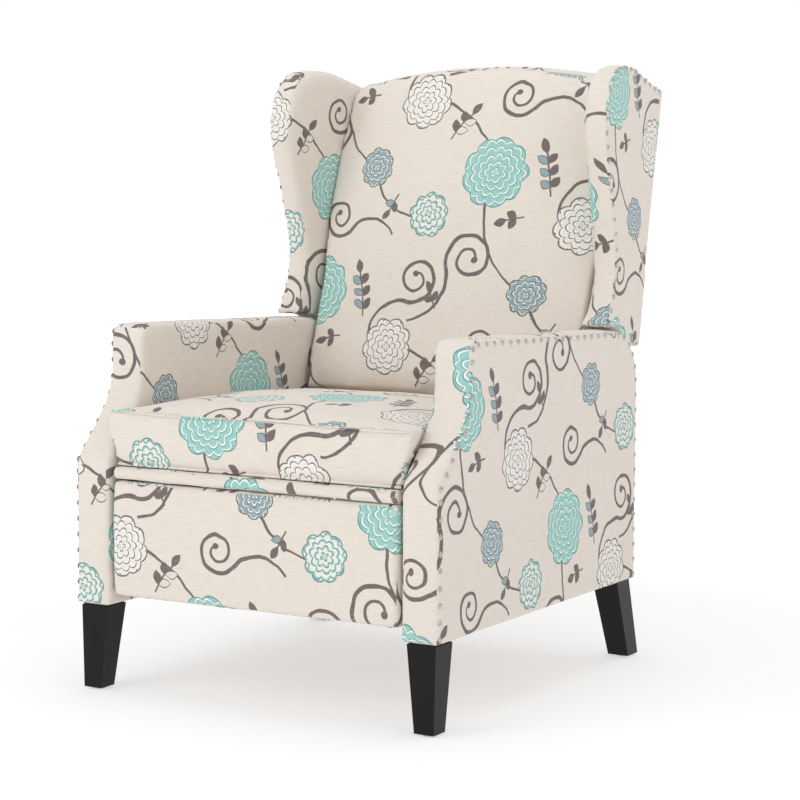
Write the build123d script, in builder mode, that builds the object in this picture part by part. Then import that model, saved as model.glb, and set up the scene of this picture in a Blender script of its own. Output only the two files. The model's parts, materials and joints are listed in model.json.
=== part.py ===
"""Push-back wingback recliner: upholstered arms, a reclining winged back, a sliding seat and a
footrest on scissor links.

Millimetres. +X is to the right of someone who faces the chair's front, +Y is to its back and +Z is
up. The origin is on the floor, under the middle of the chair's overall box. Right-hand pieces are
drawn and left-hand ones are their mirror images.
"""
import os
from math import atan2, cos, degrees, radians, sin, tan

from build123d import *

os.makedirs("parts", exist_ok=True)

# Overall sizes
overall_width = 673.1
overall_depth = 844.55
overall_height = 1016.0

# Arms, seen from the side: y is depth and z is height
arm_thickness = 66.5
arm_bottom = 140.0
arm_knee_height = 374.0
arm_scoop_height = 478.0
arm_scoop_depth = 94.0
arm_front_height = 586.5
arm_rear_height = 567.5
arm_rear_setback = 161.3
knee_radius = 14.0
scoop_radius = 110.0
arm_front_radius = 22.0
arm_rear_radius = 90.0
arm_inner_rounding = 7.0
arm_outer_rounding = 3.0
arm_padding = 20.0
arm_core_thickness = 36.0
arm_core_inset = 15.0

# Nailheads
nail_radius = 4.8
nail_height = 2.2
nail_pitch = 25.4
nail_inset = 9.0
nail_end_gap = 8.0

# Legs
leg_top = 50.0
leg_bottom = 34.0
leg_front_setback = 7.3
leg_side_setback = 8.5
leg_side_taper = 3.0
rear_leg_top = 46.0
rear_leg_bottom = 38.0
rear_leg_setback = 11.0
rear_leg_rake = 45.0
glide_radius = 11.0
glide_height = 3.0
leg_plate_thickness = 3.0
leg_bolt_radius = 4.0
leg_bolt_up = 30.0
leg_bolt_down = 37.0

# Base rails and lower rear panel
rail_height = 40.0
rail_lift = 5.0
front_rail_setback = 92.3
front_rail_depth = 35.0
rear_rail_depth = 34.0
rear_panel_thickness = 10.0
rear_panel_inset = 2.0
rear_panel_top = 280.0

# Back: the rear face leans by the rake and passes through the sill point
outer_back_crest_drop = 15.7
sill_z = 532.0
back_rake = 11.62
back_low_z = 310.0
tail_depth = 45.0
tail_thickness = 3.4
outer_back_thickness = 10.0
outer_back_side_gap = 1.0
lower_back_gap = 5.85
outer_back_corner_drop = 45.0
frame_depth = 24.0
post_width = 25.0
post_low_z = 326.0
top_rail_drop = 86.0
mid_rail_z = 592.0
low_rail_z = 345.0
back_rail_height = 28.0

# Back cushion sections: (height on the rear face, depth at the sides, gap at each side, crown).
# The upper ones hang from the chair's top, so theirs is the drop from it instead of the height.
cushion_rear_gap = 11.85
cushion_low_stations = [
    (412.0, 165.0, 11.85, 18.0),
    (480.0, 157.0, 7.85, 27.0),
    (560.0, 143.0, 4.85, 32.0),
    (680.0, 131.0, 0.0, 34.0),
]
cushion_high_stations = [
    (196.0, 118.0, 0.0, 33.0),
    (86.0, 103.0, 2.85, 29.0),
    (1.0, 82.0, 7.85, 20.0),
]
crest_shoulder = 42.85
crest_drop = 22.0
crest_corner = 42.0

# Wings, seen from the side. Low corners: (distance in front of the chair's rear, height above the
# sill). High corners: (the same distance, drop from the chair's top).
wing_thickness = 45.0
wing_front_setback = 6.55
wing_rear_setback = 33.55
wing_rear_edge = 6.3
wing_head = 290.3
wing_low_corners = [(280.3, 23.0), (227.8, 143.0)]
wing_high_corners = [(295.3, 109.5), (263.3, 6.5), (159.3, 4.5), (-7.7, 50.5)]
wing_radii = [151.0, 102.0, 73.0, 102.0]
wing_arm_gap = 4.0
wing_inner_rounding = 12.0
wing_outer_rounding = 4.0
wing_board_thickness = 12.0
wing_board_depth = 16.0
wing_board_inset = 18.0
wing_first_nail = 30.0
wing_last_nail = 34.0

# Seat
seat_side_gap = 1.85
seat_front_setback = 35.3
seat_lip_depth = 17.0
seat_lip_lift = 2.0
seat_lip_bulge = 8.0
seat_seam_rise = 40.0
seat_stations = [
    (0.0, 47.0, 5.0), (27.0, 51.0, 9.0), (157.0, 51.0, 12.0),
    (327.0, 49.0, 12.0), (447.0, 44.0, 9.0), (485.0, 30.0, 5.0),
]
deck_thickness = 7.0
deck_rear_gap = 15.0
deck_post_gap = 7.0
seat_rail_width = 26.0
seat_rail_side_gap = 27.85
seat_rail_height = 39.0
seat_rail_front_gap = 3.0
seat_rail_rear_gap = 50.0
slider_length = 60.0
slider_height = 12.8
slider_inset = 110.0

# Steel side plates and tracks
steel = 4.0
plate_bottom = 150.0
plate_top = 349.0
plate_front = 17.0
plate_rear = 25.0
track_top = 353.0
track_flange = 3.0
track_web = 50.0
track_width = 45.85
track_front_gap = 10.0
track_rear_gap = 30.0
recline_plate_width = 50.0
recline_plate_low = 300.0
recline_plate_margin = 25.0
screw_radius = 4.5
screw_height = 2.5
screw_edge = 12.0
track_screw_drop = 30.0
track_screw_inset = 50.0

# Recline pivot
pivot_setback = 61.0
pivot_z = 420.0
pivot_radius = 6.0
pivot_collar_radius = 10.0
bracket_eye = 16.0
bracket_rise = 50.0

# Scissor links; the angle is from straight down towards the front, at rest
link_setback = 67.3
link_side_gap = 3.85
link_z = 325.0
link_length = 160.0
link_rest = 5.0
link_width = 12.0
link_eye = 10.0
link_pin_radius = 3.0
link_gap = 2.0
torque_bar_radius = 6.0
slot_clearance = 0.3
slot_margin = 3.0
full_swing = 70.0

# Footrest and flap
footrest_side_gap = 3.85
footrest_bottom = 157.0
footrest_top = 343.0
footrest_setback = 3.3
footrest_crown = 3.0
footrest_rounding = 8.0
footrest_thickness = 26.0
footrest_board_thickness = 12.0
footrest_board_inset = 5.0
footrest_flange = 2.0
footrest_flange_low = 290.0
footrest_flange_top = 337.0
flap_side_gap = 5.85
flap_setback = 8.3
flap_depth = 84.0
flap_bottom = 347.0
flap_top = 364.0
flap_board_thickness = 6.0
flap_board_inset = 12.0
flap_rounding = 6.0

# Clearances
running = 0.08
seat_gap = 0.2

# Worked-out places: across the chair
half_width = overall_width / 2
arm_outer = half_width - nail_height
arm_inner = arm_outer - arm_thickness
plate_inner = arm_inner - steel
outer_layer = plate_inner - steel - link_side_gap
inner_layer = outer_layer - steel - link_gap
bracket_layer = inner_layer - steel - link_gap
track_inner_x = arm_inner - track_width
leg_outer_top = half_width - leg_side_setback
leg_outer_bottom = leg_outer_top - leg_side_taper
wing_front_x = half_width - wing_front_setback
wing_rear_x = half_width - wing_rear_setback
outer_back_half = wing_rear_x - outer_back_side_gap
lower_back_half = plate_inner - lower_back_gap
post_half_gap = inner_layer - post_width
deck_rear_half = post_half_gap - deck_post_gap
seat_half = arm_inner - seat_side_gap
seat_rail_half = arm_inner - seat_rail_side_gap
footrest_half = arm_inner - footrest_side_gap
flap_half = arm_inner - flap_side_gap
cushion_rear_half = arm_inner - cushion_rear_gap
crest_half = arm_inner - crest_shoulder

# Worked-out places: from front to back
half_depth = overall_depth / 2
arm_front_y = -half_depth
arm_scoop_y = arm_front_y + arm_scoop_depth
arm_rear_y = half_depth - arm_rear_setback
leg_front_y = arm_front_y + leg_front_setback
rear_leg_y = arm_rear_y - rear_leg_setback
front_rail_y = arm_front_y + front_rail_setback
pivot_y = arm_rear_y - pivot_setback
link_y = arm_front_y + link_setback
plate_front_y = link_y - plate_front
plate_rear_y = link_y + plate_rear
track_front_y = plate_rear_y + track_front_gap
track_rear_y = pivot_y - track_rear_gap
seat_front_y = arm_front_y + seat_front_setback
seat_lip_y = seat_front_y - seat_lip_depth
seat_rail_front_y = seat_front_y + seat_rail_front_gap
seat_rail_rear_y = pivot_y - seat_rail_rear_gap
deck_rear_y = pivot_y - deck_rear_gap
footrest_front_y = arm_front_y + footrest_setback
footrest_board_rear_y = footrest_front_y + footrest_thickness
flap_front_y = arm_front_y + flap_setback
flap_rear_y = flap_front_y + flap_depth
wing_front_y = half_depth - wing_head
wing_rear_y = half_depth - wing_rear_edge

# Worked-out places: height and lean
slider_bottom = track_top + seat_gap
seat_rail_bottom = slider_bottom + slider_height
deck_bottom = seat_rail_bottom + seat_rail_height
seat_floor = deck_bottom + deck_thickness
seat_lip_bottom = seat_rail_bottom + seat_lip_lift
seat_seam_height = seat_floor + seat_seam_rise
outer_back_corner_z = overall_height - outer_back_corner_drop
top_rail_z = overall_height - top_rail_drop
rake_tan = tan(radians(back_rake))
rake_cos = cos(radians(back_rake))
rake_sin = sin(radians(back_rake))
crest_top_z = overall_height - outer_back_crest_drop
sill_y = half_depth - (crest_top_z - sill_z) * rake_tan
wing_angle = degrees(atan2(wing_front_x - wing_rear_x, wing_rear_y - wing_front_y))
wing_slope = tan(radians(wing_angle))
wing_stretch = cos(radians(wing_angle))
cushion_stations = cushion_low_stations + [
    (overall_height - drop, depth, gap, crown)
    for drop, depth, gap, crown in cushion_high_stations
]
frame_front = outer_back_thickness + frame_depth
lap_depth = frame_depth / 2


def finish(builder, name):
    """Label a finished piece and write its file."""
    builder.part.label = name
    export_step(builder.part, f"parts/{name}.step")


def finish_pair(builder, name):
    """Write the right-hand piece and its mirror image."""
    finish(builder, f"{name}_right")
    with BuildPart() as twin:
        mirror(builder.part, about=Plane.YZ)
    finish(twin, f"{name}_left")


def side_plane(x):
    """Upright plane at x, on which a sketch's own axes are y and z."""
    return Plane.YZ.offset(x)


def back_y(z, depth=0.0):
    """Depth of the leaning plane that lies depth in front of the back's rear face."""
    return sill_y + (z - sill_z) * rake_tan - depth / rake_cos


def back_v(z):
    """Distance up the back's rear face, from the sill, of the point at height z."""
    return (z - sill_z) / rake_cos


def back_plane(depth):
    """Leaning plane depth in front of the rear face: x is across and y runs up the back."""
    origin = (0, sill_y - depth * rake_cos, sill_z + depth * rake_sin)
    return Plane(origin=origin, x_dir=(1, 0, 0), z_dir=(0, -rake_cos, rake_sin))


def section_plane(z):
    """Plane square to the back through the rear face's point at height z: y is to the rear."""
    origin = (0, back_y(z), z)
    return Plane(origin=origin, x_dir=(1, 0, 0), z_dir=(0, rake_sin, rake_cos))


def wing_plane(depth):
    """Plane of the wing's outer face, moved inwards by depth: x is along y and y is height."""
    origin_x = wing_front_x + wing_front_y * wing_slope
    outer = Plane(
        origin=(origin_x, 0, 0),
        x_dir=(-sin(radians(wing_angle)), wing_stretch, 0),
        z_dir=(wing_stretch, sin(radians(wing_angle)), 0),
    )
    return outer.offset(-depth)


def wing_face_x(y, depth):
    """X of the wing's plane at depth behind its outer face."""
    return wing_front_x - (y - wing_front_y) * wing_slope - depth / wing_stretch


def arm_corners():
    """Corners of the arm's side outline, from the front's foot to the rear's foot."""
    return [
        (arm_front_y, arm_bottom),
        (arm_front_y, arm_knee_height),
        (arm_scoop_y, arm_scoop_height),
        (arm_scoop_y, arm_front_height),
        (arm_rear_y, arm_rear_height),
        (arm_rear_y, arm_bottom),
    ]


arm_radii = [knee_radius, scoop_radius, arm_front_radius, arm_rear_radius]


def arm_outline():
    """The arm's side outline as a face in a sketch's own axes."""
    with BuildSketch() as outline:
        with BuildLine():
            edge = FilletPolyline(arm_corners(), radius=arm_radii)
            Line(edge @ 1, edge @ 0)
        make_face()
    return outline.sketch


def nail_dome():
    """One nailhead, a shallow dome on the plane z = 0."""
    dome_radius = (nail_radius**2 + nail_height**2) / (2 * nail_height)
    with BuildPart() as dome:
        with BuildSketch(Plane.XZ):
            with BuildLine():
                Line((0, 0), (nail_radius, 0))
                RadiusArc((nail_radius, 0), (0, nail_height), -dome_radius)
                Line((0, nail_height), (0, 0))
            make_face()
        revolve(axis=Axis.Z)
    return dome.part


def nail_points(wire, plane, first, last, inward):
    """Evenly pitched points along a wire of a plane, moved inwards from it by the nail inset."""
    span = wire.length - first - last
    count = round(span / nail_pitch)
    points = []
    for step in range(count + 1):
        place = (first + span * step / count) / wire.length
        along = wire.tangent_at(place)
        point = wire.position_at(place) + plane.z_dir.cross(along) * inward * nail_inset
        points.append(point)
    return points


# ---------------------------------------------------------------- base: arms
with BuildPart() as arm_core:
    with BuildSketch(side_plane(arm_inner + arm_core_inset)):
        add(arm_outline())
        offset(amount=-arm_padding, mode=Mode.REPLACE)
        with Locations(((arm_front_y + arm_rear_y) / 2, arm_bottom + arm_padding)):
            Rectangle(arm_rear_y - arm_front_y - 2 * arm_padding, 2 * arm_padding)
    extrude(amount=arm_core_thickness)

leg_places = {
    "front": (leg_front_y + leg_top / 2, leg_outer_top - leg_top / 2),
    "rear": (rear_leg_y - rear_leg_top / 2, leg_outer_top - rear_leg_top / 2),
}

with BuildPart() as arm:
    with BuildSketch(side_plane(arm_inner)):
        add(arm_outline())
    extrude(amount=arm_thickness)
    inner_edges = arm.faces().sort_by(Axis.X)[0].edges()
    fillet(inner_edges.filter_by(lambda e: e.center().Z > arm_bottom + 1), arm_inner_rounding)
    outer_edges = arm.faces().sort_by(Axis.X)[-1].edges()
    fillet(outer_edges.filter_by(lambda e: e.center().Z > arm_bottom + 1), arm_outer_rounding)
    add(arm_core.part, mode=Mode.SUBTRACT)
finish_pair(arm, "arm")

with BuildPart() as drilled_core:
    add(arm_core.part)
    for leg_y, leg_x in leg_places.values():
        with Locations((leg_x, leg_y, arm_bottom)):
            Cylinder(
                leg_bolt_radius + running, leg_bolt_up,
                align=(Align.CENTER, Align.CENTER, Align.MIN), mode=Mode.SUBTRACT,
            )
finish_pair(drilled_core, "arm_core")

with BuildLine(side_plane(arm_outer)) as arm_edge:
    FilletPolyline(arm_corners(), radius=arm_radii)
arm_nail_points = nail_points(
    arm_edge.wire(), side_plane(arm_outer), nail_end_gap, nail_end_gap, -1
)
with BuildPart() as arm_nails:
    with Locations(*[Plane(origin=point, z_dir=(1, 0, 0)) for point in arm_nail_points]):
        add(nail_dome())
finish_pair(arm_nails, "arm_nailheads")

# ---------------------------------------------------------------- base: legs
leg_head = arm_bottom - leg_plate_thickness
leg_bolt_hole = leg_bolt_radius + running


def leg(top_y, top_size, bottom_y, bottom_size):
    """A square leg of the right side; each y is that of its middle."""
    with BuildPart() as post:
        with BuildSketch(Plane.XY.offset(leg_head)):
            with Locations((leg_outer_top - top_size / 2, top_y)):
                Rectangle(top_size, top_size)
        with BuildSketch(Plane.XY.offset(glide_height)):
            with Locations((leg_outer_bottom - bottom_size / 2, bottom_y)):
                Rectangle(bottom_size, bottom_size)
        loft(ruled=True)
        with Locations((leg_outer_top - top_size / 2, top_y, leg_head)):
            Cylinder(
                leg_bolt_hole, leg_bolt_down,
                align=(Align.CENTER, Align.CENTER, Align.MAX), mode=Mode.SUBTRACT,
            )
    return post


front_foot_y = leg_front_y + leg_bottom / 2
rear_foot_y = rear_leg_y + rear_leg_rake - rear_leg_bottom / 2
leg_front = leg(leg_front_y + leg_top / 2, leg_top, front_foot_y, leg_bottom)
finish_pair(leg_front, "leg_front")
leg_rear = leg(rear_leg_y - rear_leg_top / 2, rear_leg_top, rear_foot_y, rear_leg_bottom)
finish_pair(leg_rear, "leg_rear")

foot_places = [
    (side * (leg_outer_bottom - size / 2), foot_y)
    for side in (-1, 1)
    for foot_y, size in ((front_foot_y, leg_bottom), (rear_foot_y, rear_leg_bottom))
]
with BuildPart() as leg_glides:
    with BuildSketch():
        with Locations(*foot_places):
            Circle(glide_radius)
    extrude(amount=glide_height)
finish(leg_glides, "leg_glides")

head_places = [(side * x, y) for side in (-1, 1) for y, x in leg_places.values()]
with BuildPart() as leg_plates:
    with BuildSketch(Plane.XY.offset(leg_head)):
        with Locations(*head_places):
            Rectangle(rear_leg_top, rear_leg_top)
            Circle(leg_bolt_hole, mode=Mode.SUBTRACT)
    extrude(amount=leg_plate_thickness)
finish(leg_plates, "leg_plates")

with BuildPart() as leg_bolts:
    with BuildSketch(Plane.XY.offset(leg_head - leg_bolt_down)):
        with Locations(*head_places):
            Circle(leg_bolt_radius)
    extrude(amount=leg_bolt_down + leg_plate_thickness + leg_bolt_up)
finish(leg_bolts, "leg_bolts")

# ---------------------------------------------------------------- base: rails and rear panel
rail_bottom = arm_bottom + rail_lift
panel_front_y = arm_rear_y - rear_panel_inset - rear_panel_thickness


def cross_rail(low_y, depth, low_z, height, half):
    """A board across the chair, between its sides."""
    with BuildPart() as board:
        with Locations((0, low_y, low_z)):
            Box(2 * half, depth, height, align=(Align.CENTER, Align.MIN, Align.MIN))
    return board


base_rail_front = cross_rail(front_rail_y, front_rail_depth, rail_bottom, rail_height, arm_inner)
finish(base_rail_front, "base_rail_front")
base_rail_rear = cross_rail(
    panel_front_y - rear_rail_depth, rear_rail_depth, rail_bottom, rail_height, arm_inner
)
finish(base_rail_rear, "base_rail_rear")
rear_panel = cross_rail(
    panel_front_y, rear_panel_thickness, rail_bottom, rear_panel_top - rail_bottom, arm_inner
)
finish(rear_panel, "rear_panel")

# ---------------------------------------------------------------- base: steel plates
slot_travel = link_length * (cos(radians(link_rest)) - cos(radians(link_rest + full_swing)))
slot_low = link_z - link_length * cos(radians(link_rest))

with BuildPart() as link_plate:
    with BuildSketch(side_plane(plate_inner)):
        with Locations(((plate_front_y + plate_rear_y) / 2, (plate_bottom + plate_top) / 2)):
            RectangleRounded(plate_rear_y - plate_front_y, plate_top - plate_bottom, link_width / 2)
        with Locations((link_y, link_z)):
            Circle(torque_bar_radius + running, mode=Mode.SUBTRACT)
        with Locations((link_y, slot_low + slot_travel / 2)):
            SlotCenterToCenter(
                slot_travel + 2 * slot_margin, 2 * (link_pin_radius + slot_clearance),
                rotation=90, mode=Mode.SUBTRACT,
            )
    extrude(amount=steel)
finish_pair(link_plate, "link_plate")

track_length = track_rear_y - track_front_y
with BuildPart() as seat_track:
    with Locations((arm_inner, track_front_y, track_top)):
        Box(steel, track_length, track_web, align=(Align.MAX, Align.MIN, Align.MAX))
        Box(
            arm_inner - track_inner_x, track_length, track_flange,
            align=(Align.MAX, Align.MIN, Align.MAX),
        )
finish_pair(seat_track, "seat_track")

recline_plate_top = pivot_z + recline_plate_margin
with BuildPart() as recline_plate:
    with BuildSketch(side_plane(plate_inner)):
        with Locations((pivot_y, (recline_plate_low + recline_plate_top) / 2)):
            RectangleRounded(
                recline_plate_width, recline_plate_top - recline_plate_low, link_width / 2
            )
        # the seat track's end passes in front of the plate
        with Locations((track_rear_y + seat_gap, track_top + seat_gap)):
            Rectangle(
                recline_plate_width, track_web + 2 * seat_gap,
                align=(Align.MAX, Align.MAX), mode=Mode.SUBTRACT,
            )
    extrude(amount=steel)
    for turned, start_x in (
        (pivot_radius, inner_layer - 1), (pivot_collar_radius, inner_layer + steel + seat_gap)
    ):
        with BuildSketch(side_plane(start_x)):
            with Locations((pivot_y, pivot_z)):
                Circle(turned)
        extrude(amount=plate_inner - start_x)
finish_pair(recline_plate, "recline_plate")

track_screw_z = track_top - track_screw_drop
screw_places = [
    (plate_rear_y - screw_edge, plate_top - screw_edge),
    (plate_rear_y - screw_edge, (plate_bottom + plate_top) / 2),
    (track_front_y + track_screw_inset, track_screw_z),
    ((track_front_y + track_rear_y) / 2, track_screw_z),
    (track_rear_y - track_screw_inset, track_screw_z),
    (pivot_y, recline_plate_low + screw_edge),
    (pivot_y + screw_edge, (recline_plate_low + pivot_z) / 2),
]
with BuildPart() as side_screws:
    with BuildSketch(side_plane(plate_inner)):
        with Locations(*screw_places):
            Circle(screw_radius)
    extrude(amount=-screw_height)
    heads = side_screws.faces().filter_by(Axis.X).group_by(Axis.X)[0]
    chamfer(heads.edges(), screw_height / 3)
finish_pair(side_screws, "side_screws")

# ---------------------------------------------------------------- scissor links
rest = radians(link_rest)
step_down = (-link_length * sin(rest), -link_length * cos(rest))
step_up = (-link_length * sin(rest), link_length * cos(rest))
link_root = (link_y, link_z)
link_foot = (link_y + step_down[0], link_z + step_down[1])
cross_foot = (link_y, link_z + step_down[1])
cross_head = (link_y + step_up[0], link_z)
front_head = (link_foot[0] + step_up[0], link_foot[1] + step_up[1])
link_middle = ((link_root[0] + link_foot[0]) / 2, (link_root[1] + link_foot[1]) / 2)
pin_hole = link_pin_radius + running


def link_bar(start, end, x):
    """A flat bar with round ends between two pin centres, its low-x face at x."""
    middle = ((start[0] + end[0]) / 2, (start[1] + end[1]) / 2)
    turn = degrees(atan2(end[1] - start[1], end[0] - start[0]))
    with BuildPart() as bar:
        with BuildSketch(side_plane(x)):
            with Locations(middle):
                SlotCenterToCenter(link_length, link_width, rotation=turn)
        extrude(amount=steel)
    return bar.part


def pin(place, x_low, x_high, radius=link_pin_radius):
    """A round pin along x."""
    with BuildPart() as rod:
        with BuildSketch(side_plane(x_low)):
            with Locations(place):
                Circle(radius)
        extrude(amount=x_high - x_low)
    return rod.part


with BuildPart() as torque_bar:
    with BuildSketch(side_plane(-arm_inner + seat_gap)):
        with Locations(link_root):
            Circle(torque_bar_radius)
    extrude(amount=2 * (arm_inner - seat_gap))
finish(torque_bar, "torque_bar")

with BuildPart() as rear_link:
    add(link_bar(link_root, link_foot, outer_layer))
    with BuildSketch(side_plane(outer_layer)):
        with Locations(link_root):
            Circle(link_eye)
    extrude(amount=steel)
    add(pin(link_root, outer_layer, outer_layer + steel, torque_bar_radius + running / 2),
        mode=Mode.SUBTRACT)
    add(pin(link_middle, inner_layer - 1, outer_layer + steel + 1))
    add(pin(link_foot, inner_layer - 1, outer_layer + steel + 1))
finish_pair(rear_link, "rear_link")

with BuildPart() as cross_link:
    add(link_bar(cross_foot, cross_head, inner_layer))
    add(pin(link_middle, inner_layer, inner_layer + steel, pin_hole), mode=Mode.SUBTRACT)
    add(pin(cross_foot, inner_layer, arm_inner - seat_gap))
    add(pin(cross_head, bracket_layer - 1, inner_layer + steel))
finish_pair(cross_link, "cross_link")

with BuildPart() as front_link:
    add(link_bar(link_foot, front_head, inner_layer))
    add(pin(link_foot, inner_layer, inner_layer + steel, pin_hole), mode=Mode.SUBTRACT)
    add(pin(front_head, inner_layer, outer_layer + steel + 1))
finish_pair(front_link, "front_link")

# ---------------------------------------------------------------- footrest
board_front_y = footrest_board_rear_y - footrest_board_thickness
with BuildPart() as footrest_board:
    with Locations((0, board_front_y, footrest_bottom + footrest_board_inset)):
        Box(
            2 * (footrest_half - footrest_board_inset), footrest_board_thickness,
            footrest_top - footrest_bottom - 2 * footrest_board_inset,
            align=(Align.CENTER, Align.MIN, Align.MIN),
        )
finish(footrest_board, "footrest_board")

with BuildPart() as footrest_pad:
    with BuildSketch(side_plane(-footrest_half)):
        with BuildLine():
            low = (footrest_front_y, footrest_bottom)
            high = (footrest_front_y, footrest_top)
            belly = (footrest_front_y - footrest_crown, (footrest_bottom + footrest_top) / 2)
            ThreePointArc(low, belly, high)
            Polyline(
                high, (footrest_board_rear_y, footrest_top),
                (footrest_board_rear_y, footrest_bottom), low,
            )
        make_face()
    extrude(amount=2 * footrest_half)
    front_edges = footrest_pad.faces().sort_by(Axis.Y)[0].edges()
    fillet(front_edges, footrest_rounding)
    add(footrest_board.part, mode=Mode.SUBTRACT)
finish(footrest_pad, "footrest_pad")

flange_y = footrest_board_rear_y
flange_height = footrest_flange_top - footrest_flange_low
with BuildPart() as footrest_brackets:
    with Locations((outer_layer + steel, flange_y, footrest_flange_low)):
        Box(
            2 * steel + link_gap + inner_layer - bracket_layer, footrest_flange, flange_height,
            align=(Align.MAX, Align.MIN, Align.MIN),
        )
    with BuildSketch(side_plane(outer_layer)):
        with Locations(front_head):
            Circle(link_width / 2 + 2)
        with Locations((flange_y, front_head[1])):
            Rectangle(front_head[0] - flange_y, link_width + 4, align=(Align.MIN, Align.CENTER))
        with Locations(front_head):
            Circle(pin_hole, mode=Mode.SUBTRACT)
    extrude(amount=steel)
    mirror(about=Plane.YZ)
finish(footrest_brackets, "footrest_brackets")

# ---------------------------------------------------------------- flap under the seat front
with BuildPart() as flap_board:
    with Locations((0, flap_front_y + flap_board_inset, flap_bottom)):
        Box(
            2 * (flap_half - flap_board_inset), flap_rear_y - flap_front_y - flap_board_inset,
            flap_board_thickness, align=(Align.CENTER, Align.MIN, Align.MIN),
        )
finish(flap_board, "flap_board")

with BuildPart() as flap_pad:
    with Locations((0, flap_front_y, flap_bottom)):
        Box(
            2 * flap_half, flap_rear_y - flap_front_y, flap_top - flap_bottom,
            align=(Align.CENTER, Align.MIN, Align.MIN),
        )
    fillet(flap_pad.edges().filter_by(Axis.X).group_by(Axis.Y)[0], flap_rounding)
    add(flap_board.part, mode=Mode.SUBTRACT)
finish(flap_pad, "flap_pad")

with BuildPart() as flap_brackets:
    with BuildSketch(side_plane(bracket_layer)):
        with Locations(cross_head):
            Circle(link_width / 2)
            Rectangle(link_width, flap_bottom - link_z, align=(Align.CENTER, Align.MIN))
            Circle(pin_hole, mode=Mode.SUBTRACT)
    extrude(amount=steel)
    mirror(about=Plane.YZ)
finish(flap_brackets, "flap_brackets")

# ---------------------------------------------------------------- seat
side_rail_front = seat_rail_front_y + seat_rail_width
side_rail_length = seat_rail_rear_y - seat_rail_width - side_rail_front

seat_rail_front = cross_rail(
    seat_rail_front_y, seat_rail_width, seat_lip_bottom, deck_bottom - seat_lip_bottom,
    seat_rail_half,
)
finish(seat_rail_front, "seat_rail_front")
seat_rail_rear = cross_rail(
    seat_rail_rear_y - seat_rail_width, seat_rail_width, seat_rail_bottom, seat_rail_height,
    deck_rear_half,
)
finish(seat_rail_rear, "seat_rail_rear")

with BuildPart() as seat_rail:
    with Locations((seat_rail_half, side_rail_front, seat_rail_bottom)):
        Box(
            seat_rail_width, side_rail_length, seat_rail_height,
            align=(Align.MAX, Align.MIN, Align.MIN),
        )
finish_pair(seat_rail, "seat_rail")

with BuildPart() as seat_sliders:
    for slider_y in (track_front_y + slider_inset, seat_rail_rear_y - slider_inset):
        with Locations((seat_rail_half, slider_y, slider_bottom)):
            Box(
                seat_rail_half - track_inner_x, slider_length, seat_rail_bottom - slider_bottom,
                align=(Align.MAX, Align.CENTER, Align.MIN),
            )
    mirror(about=Plane.YZ)
finish(seat_sliders, "seat_sliders")

with BuildPart() as seat_deck:
    with BuildSketch(Plane.XY.offset(deck_bottom)):
        with Locations((0, seat_rail_front_y)):
            Rectangle(
                2 * seat_rail_half, seat_stations[-1][0] - seat_rail_front_gap,
                align=(Align.CENTER, Align.MIN),
            )
            Rectangle(
                2 * deck_rear_half, deck_rear_y - seat_rail_front_y,
                align=(Align.CENTER, Align.MIN),
            )
    extrude(amount=deck_thickness)
finish(seat_deck, "seat_deck")

with BuildPart() as seat_cushion:
    for setback, rise, crown in seat_stations:
        side_top = seat_floor + rise
        with BuildSketch(Plane.XZ.offset(-seat_front_y - setback)):
            with BuildLine():
                ThreePointArc(
                    (-seat_half, side_top), (0, side_top + crown), (seat_half, side_top)
                )
                Polyline(
                    (seat_half, side_top), (seat_half, seat_floor),
                    (-seat_half, seat_floor), (-seat_half, side_top),
                )
            make_face()
    loft()
    with BuildSketch(side_plane(-seat_half)):
        with BuildLine():
            lip_middle = (seat_lip_bottom + seat_seam_height) / 2
            ThreePointArc(
                (seat_lip_y, seat_lip_bottom), (seat_lip_y - seat_lip_bulge, lip_middle),
                (seat_lip_y, seat_seam_height),
            )
            Polyline(
                (seat_lip_y, seat_seam_height), (seat_front_y, seat_floor + seat_stations[0][1]),
                (seat_front_y, seat_lip_bottom), (seat_lip_y, seat_lip_bottom),
            )
        make_face()
    extrude(amount=2 * seat_half)
finish(seat_cushion, "seat_cushion")

# ---------------------------------------------------------------- back frame
post_inner_v = back_v(post_low_z)
rail_v = {"top": back_v(top_rail_z), "mid": back_v(mid_rail_z), "low": back_v(low_rail_z)}
board_inner_depth = wing_board_depth + wing_board_thickness


def rail_half(z):
    """Half length of a rail that reaches the wing boards at height z."""
    rear_y = back_y(z + back_rail_height, outer_back_thickness)
    return wing_face_x(rear_y, board_inner_depth) - seat_gap


with BuildPart() as back_post:
    with BuildSketch(back_plane(outer_back_thickness)):
        with Locations((post_half_gap, post_inner_v)):
            Rectangle(post_width, rail_v["top"] - post_inner_v, align=(Align.MIN, Align.MIN))
    extrude(amount=frame_depth)
    with BuildSketch(back_plane(frame_front - lap_depth)):
        with Locations((post_half_gap, rail_v["mid"])):
            Rectangle(post_width, back_rail_height, align=(Align.MIN, Align.MIN))
    extrude(amount=lap_depth, mode=Mode.SUBTRACT)
finish_pair(back_post, "back_post")

with BuildPart() as back_rail_top:
    with BuildSketch(back_plane(outer_back_thickness)):
        with Locations((0, rail_v["top"])):
            Rectangle(
                2 * rail_half(top_rail_z), back_rail_height, align=(Align.CENTER, Align.MIN)
            )
    extrude(amount=frame_depth)
finish(back_rail_top, "back_rail_top")

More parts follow.
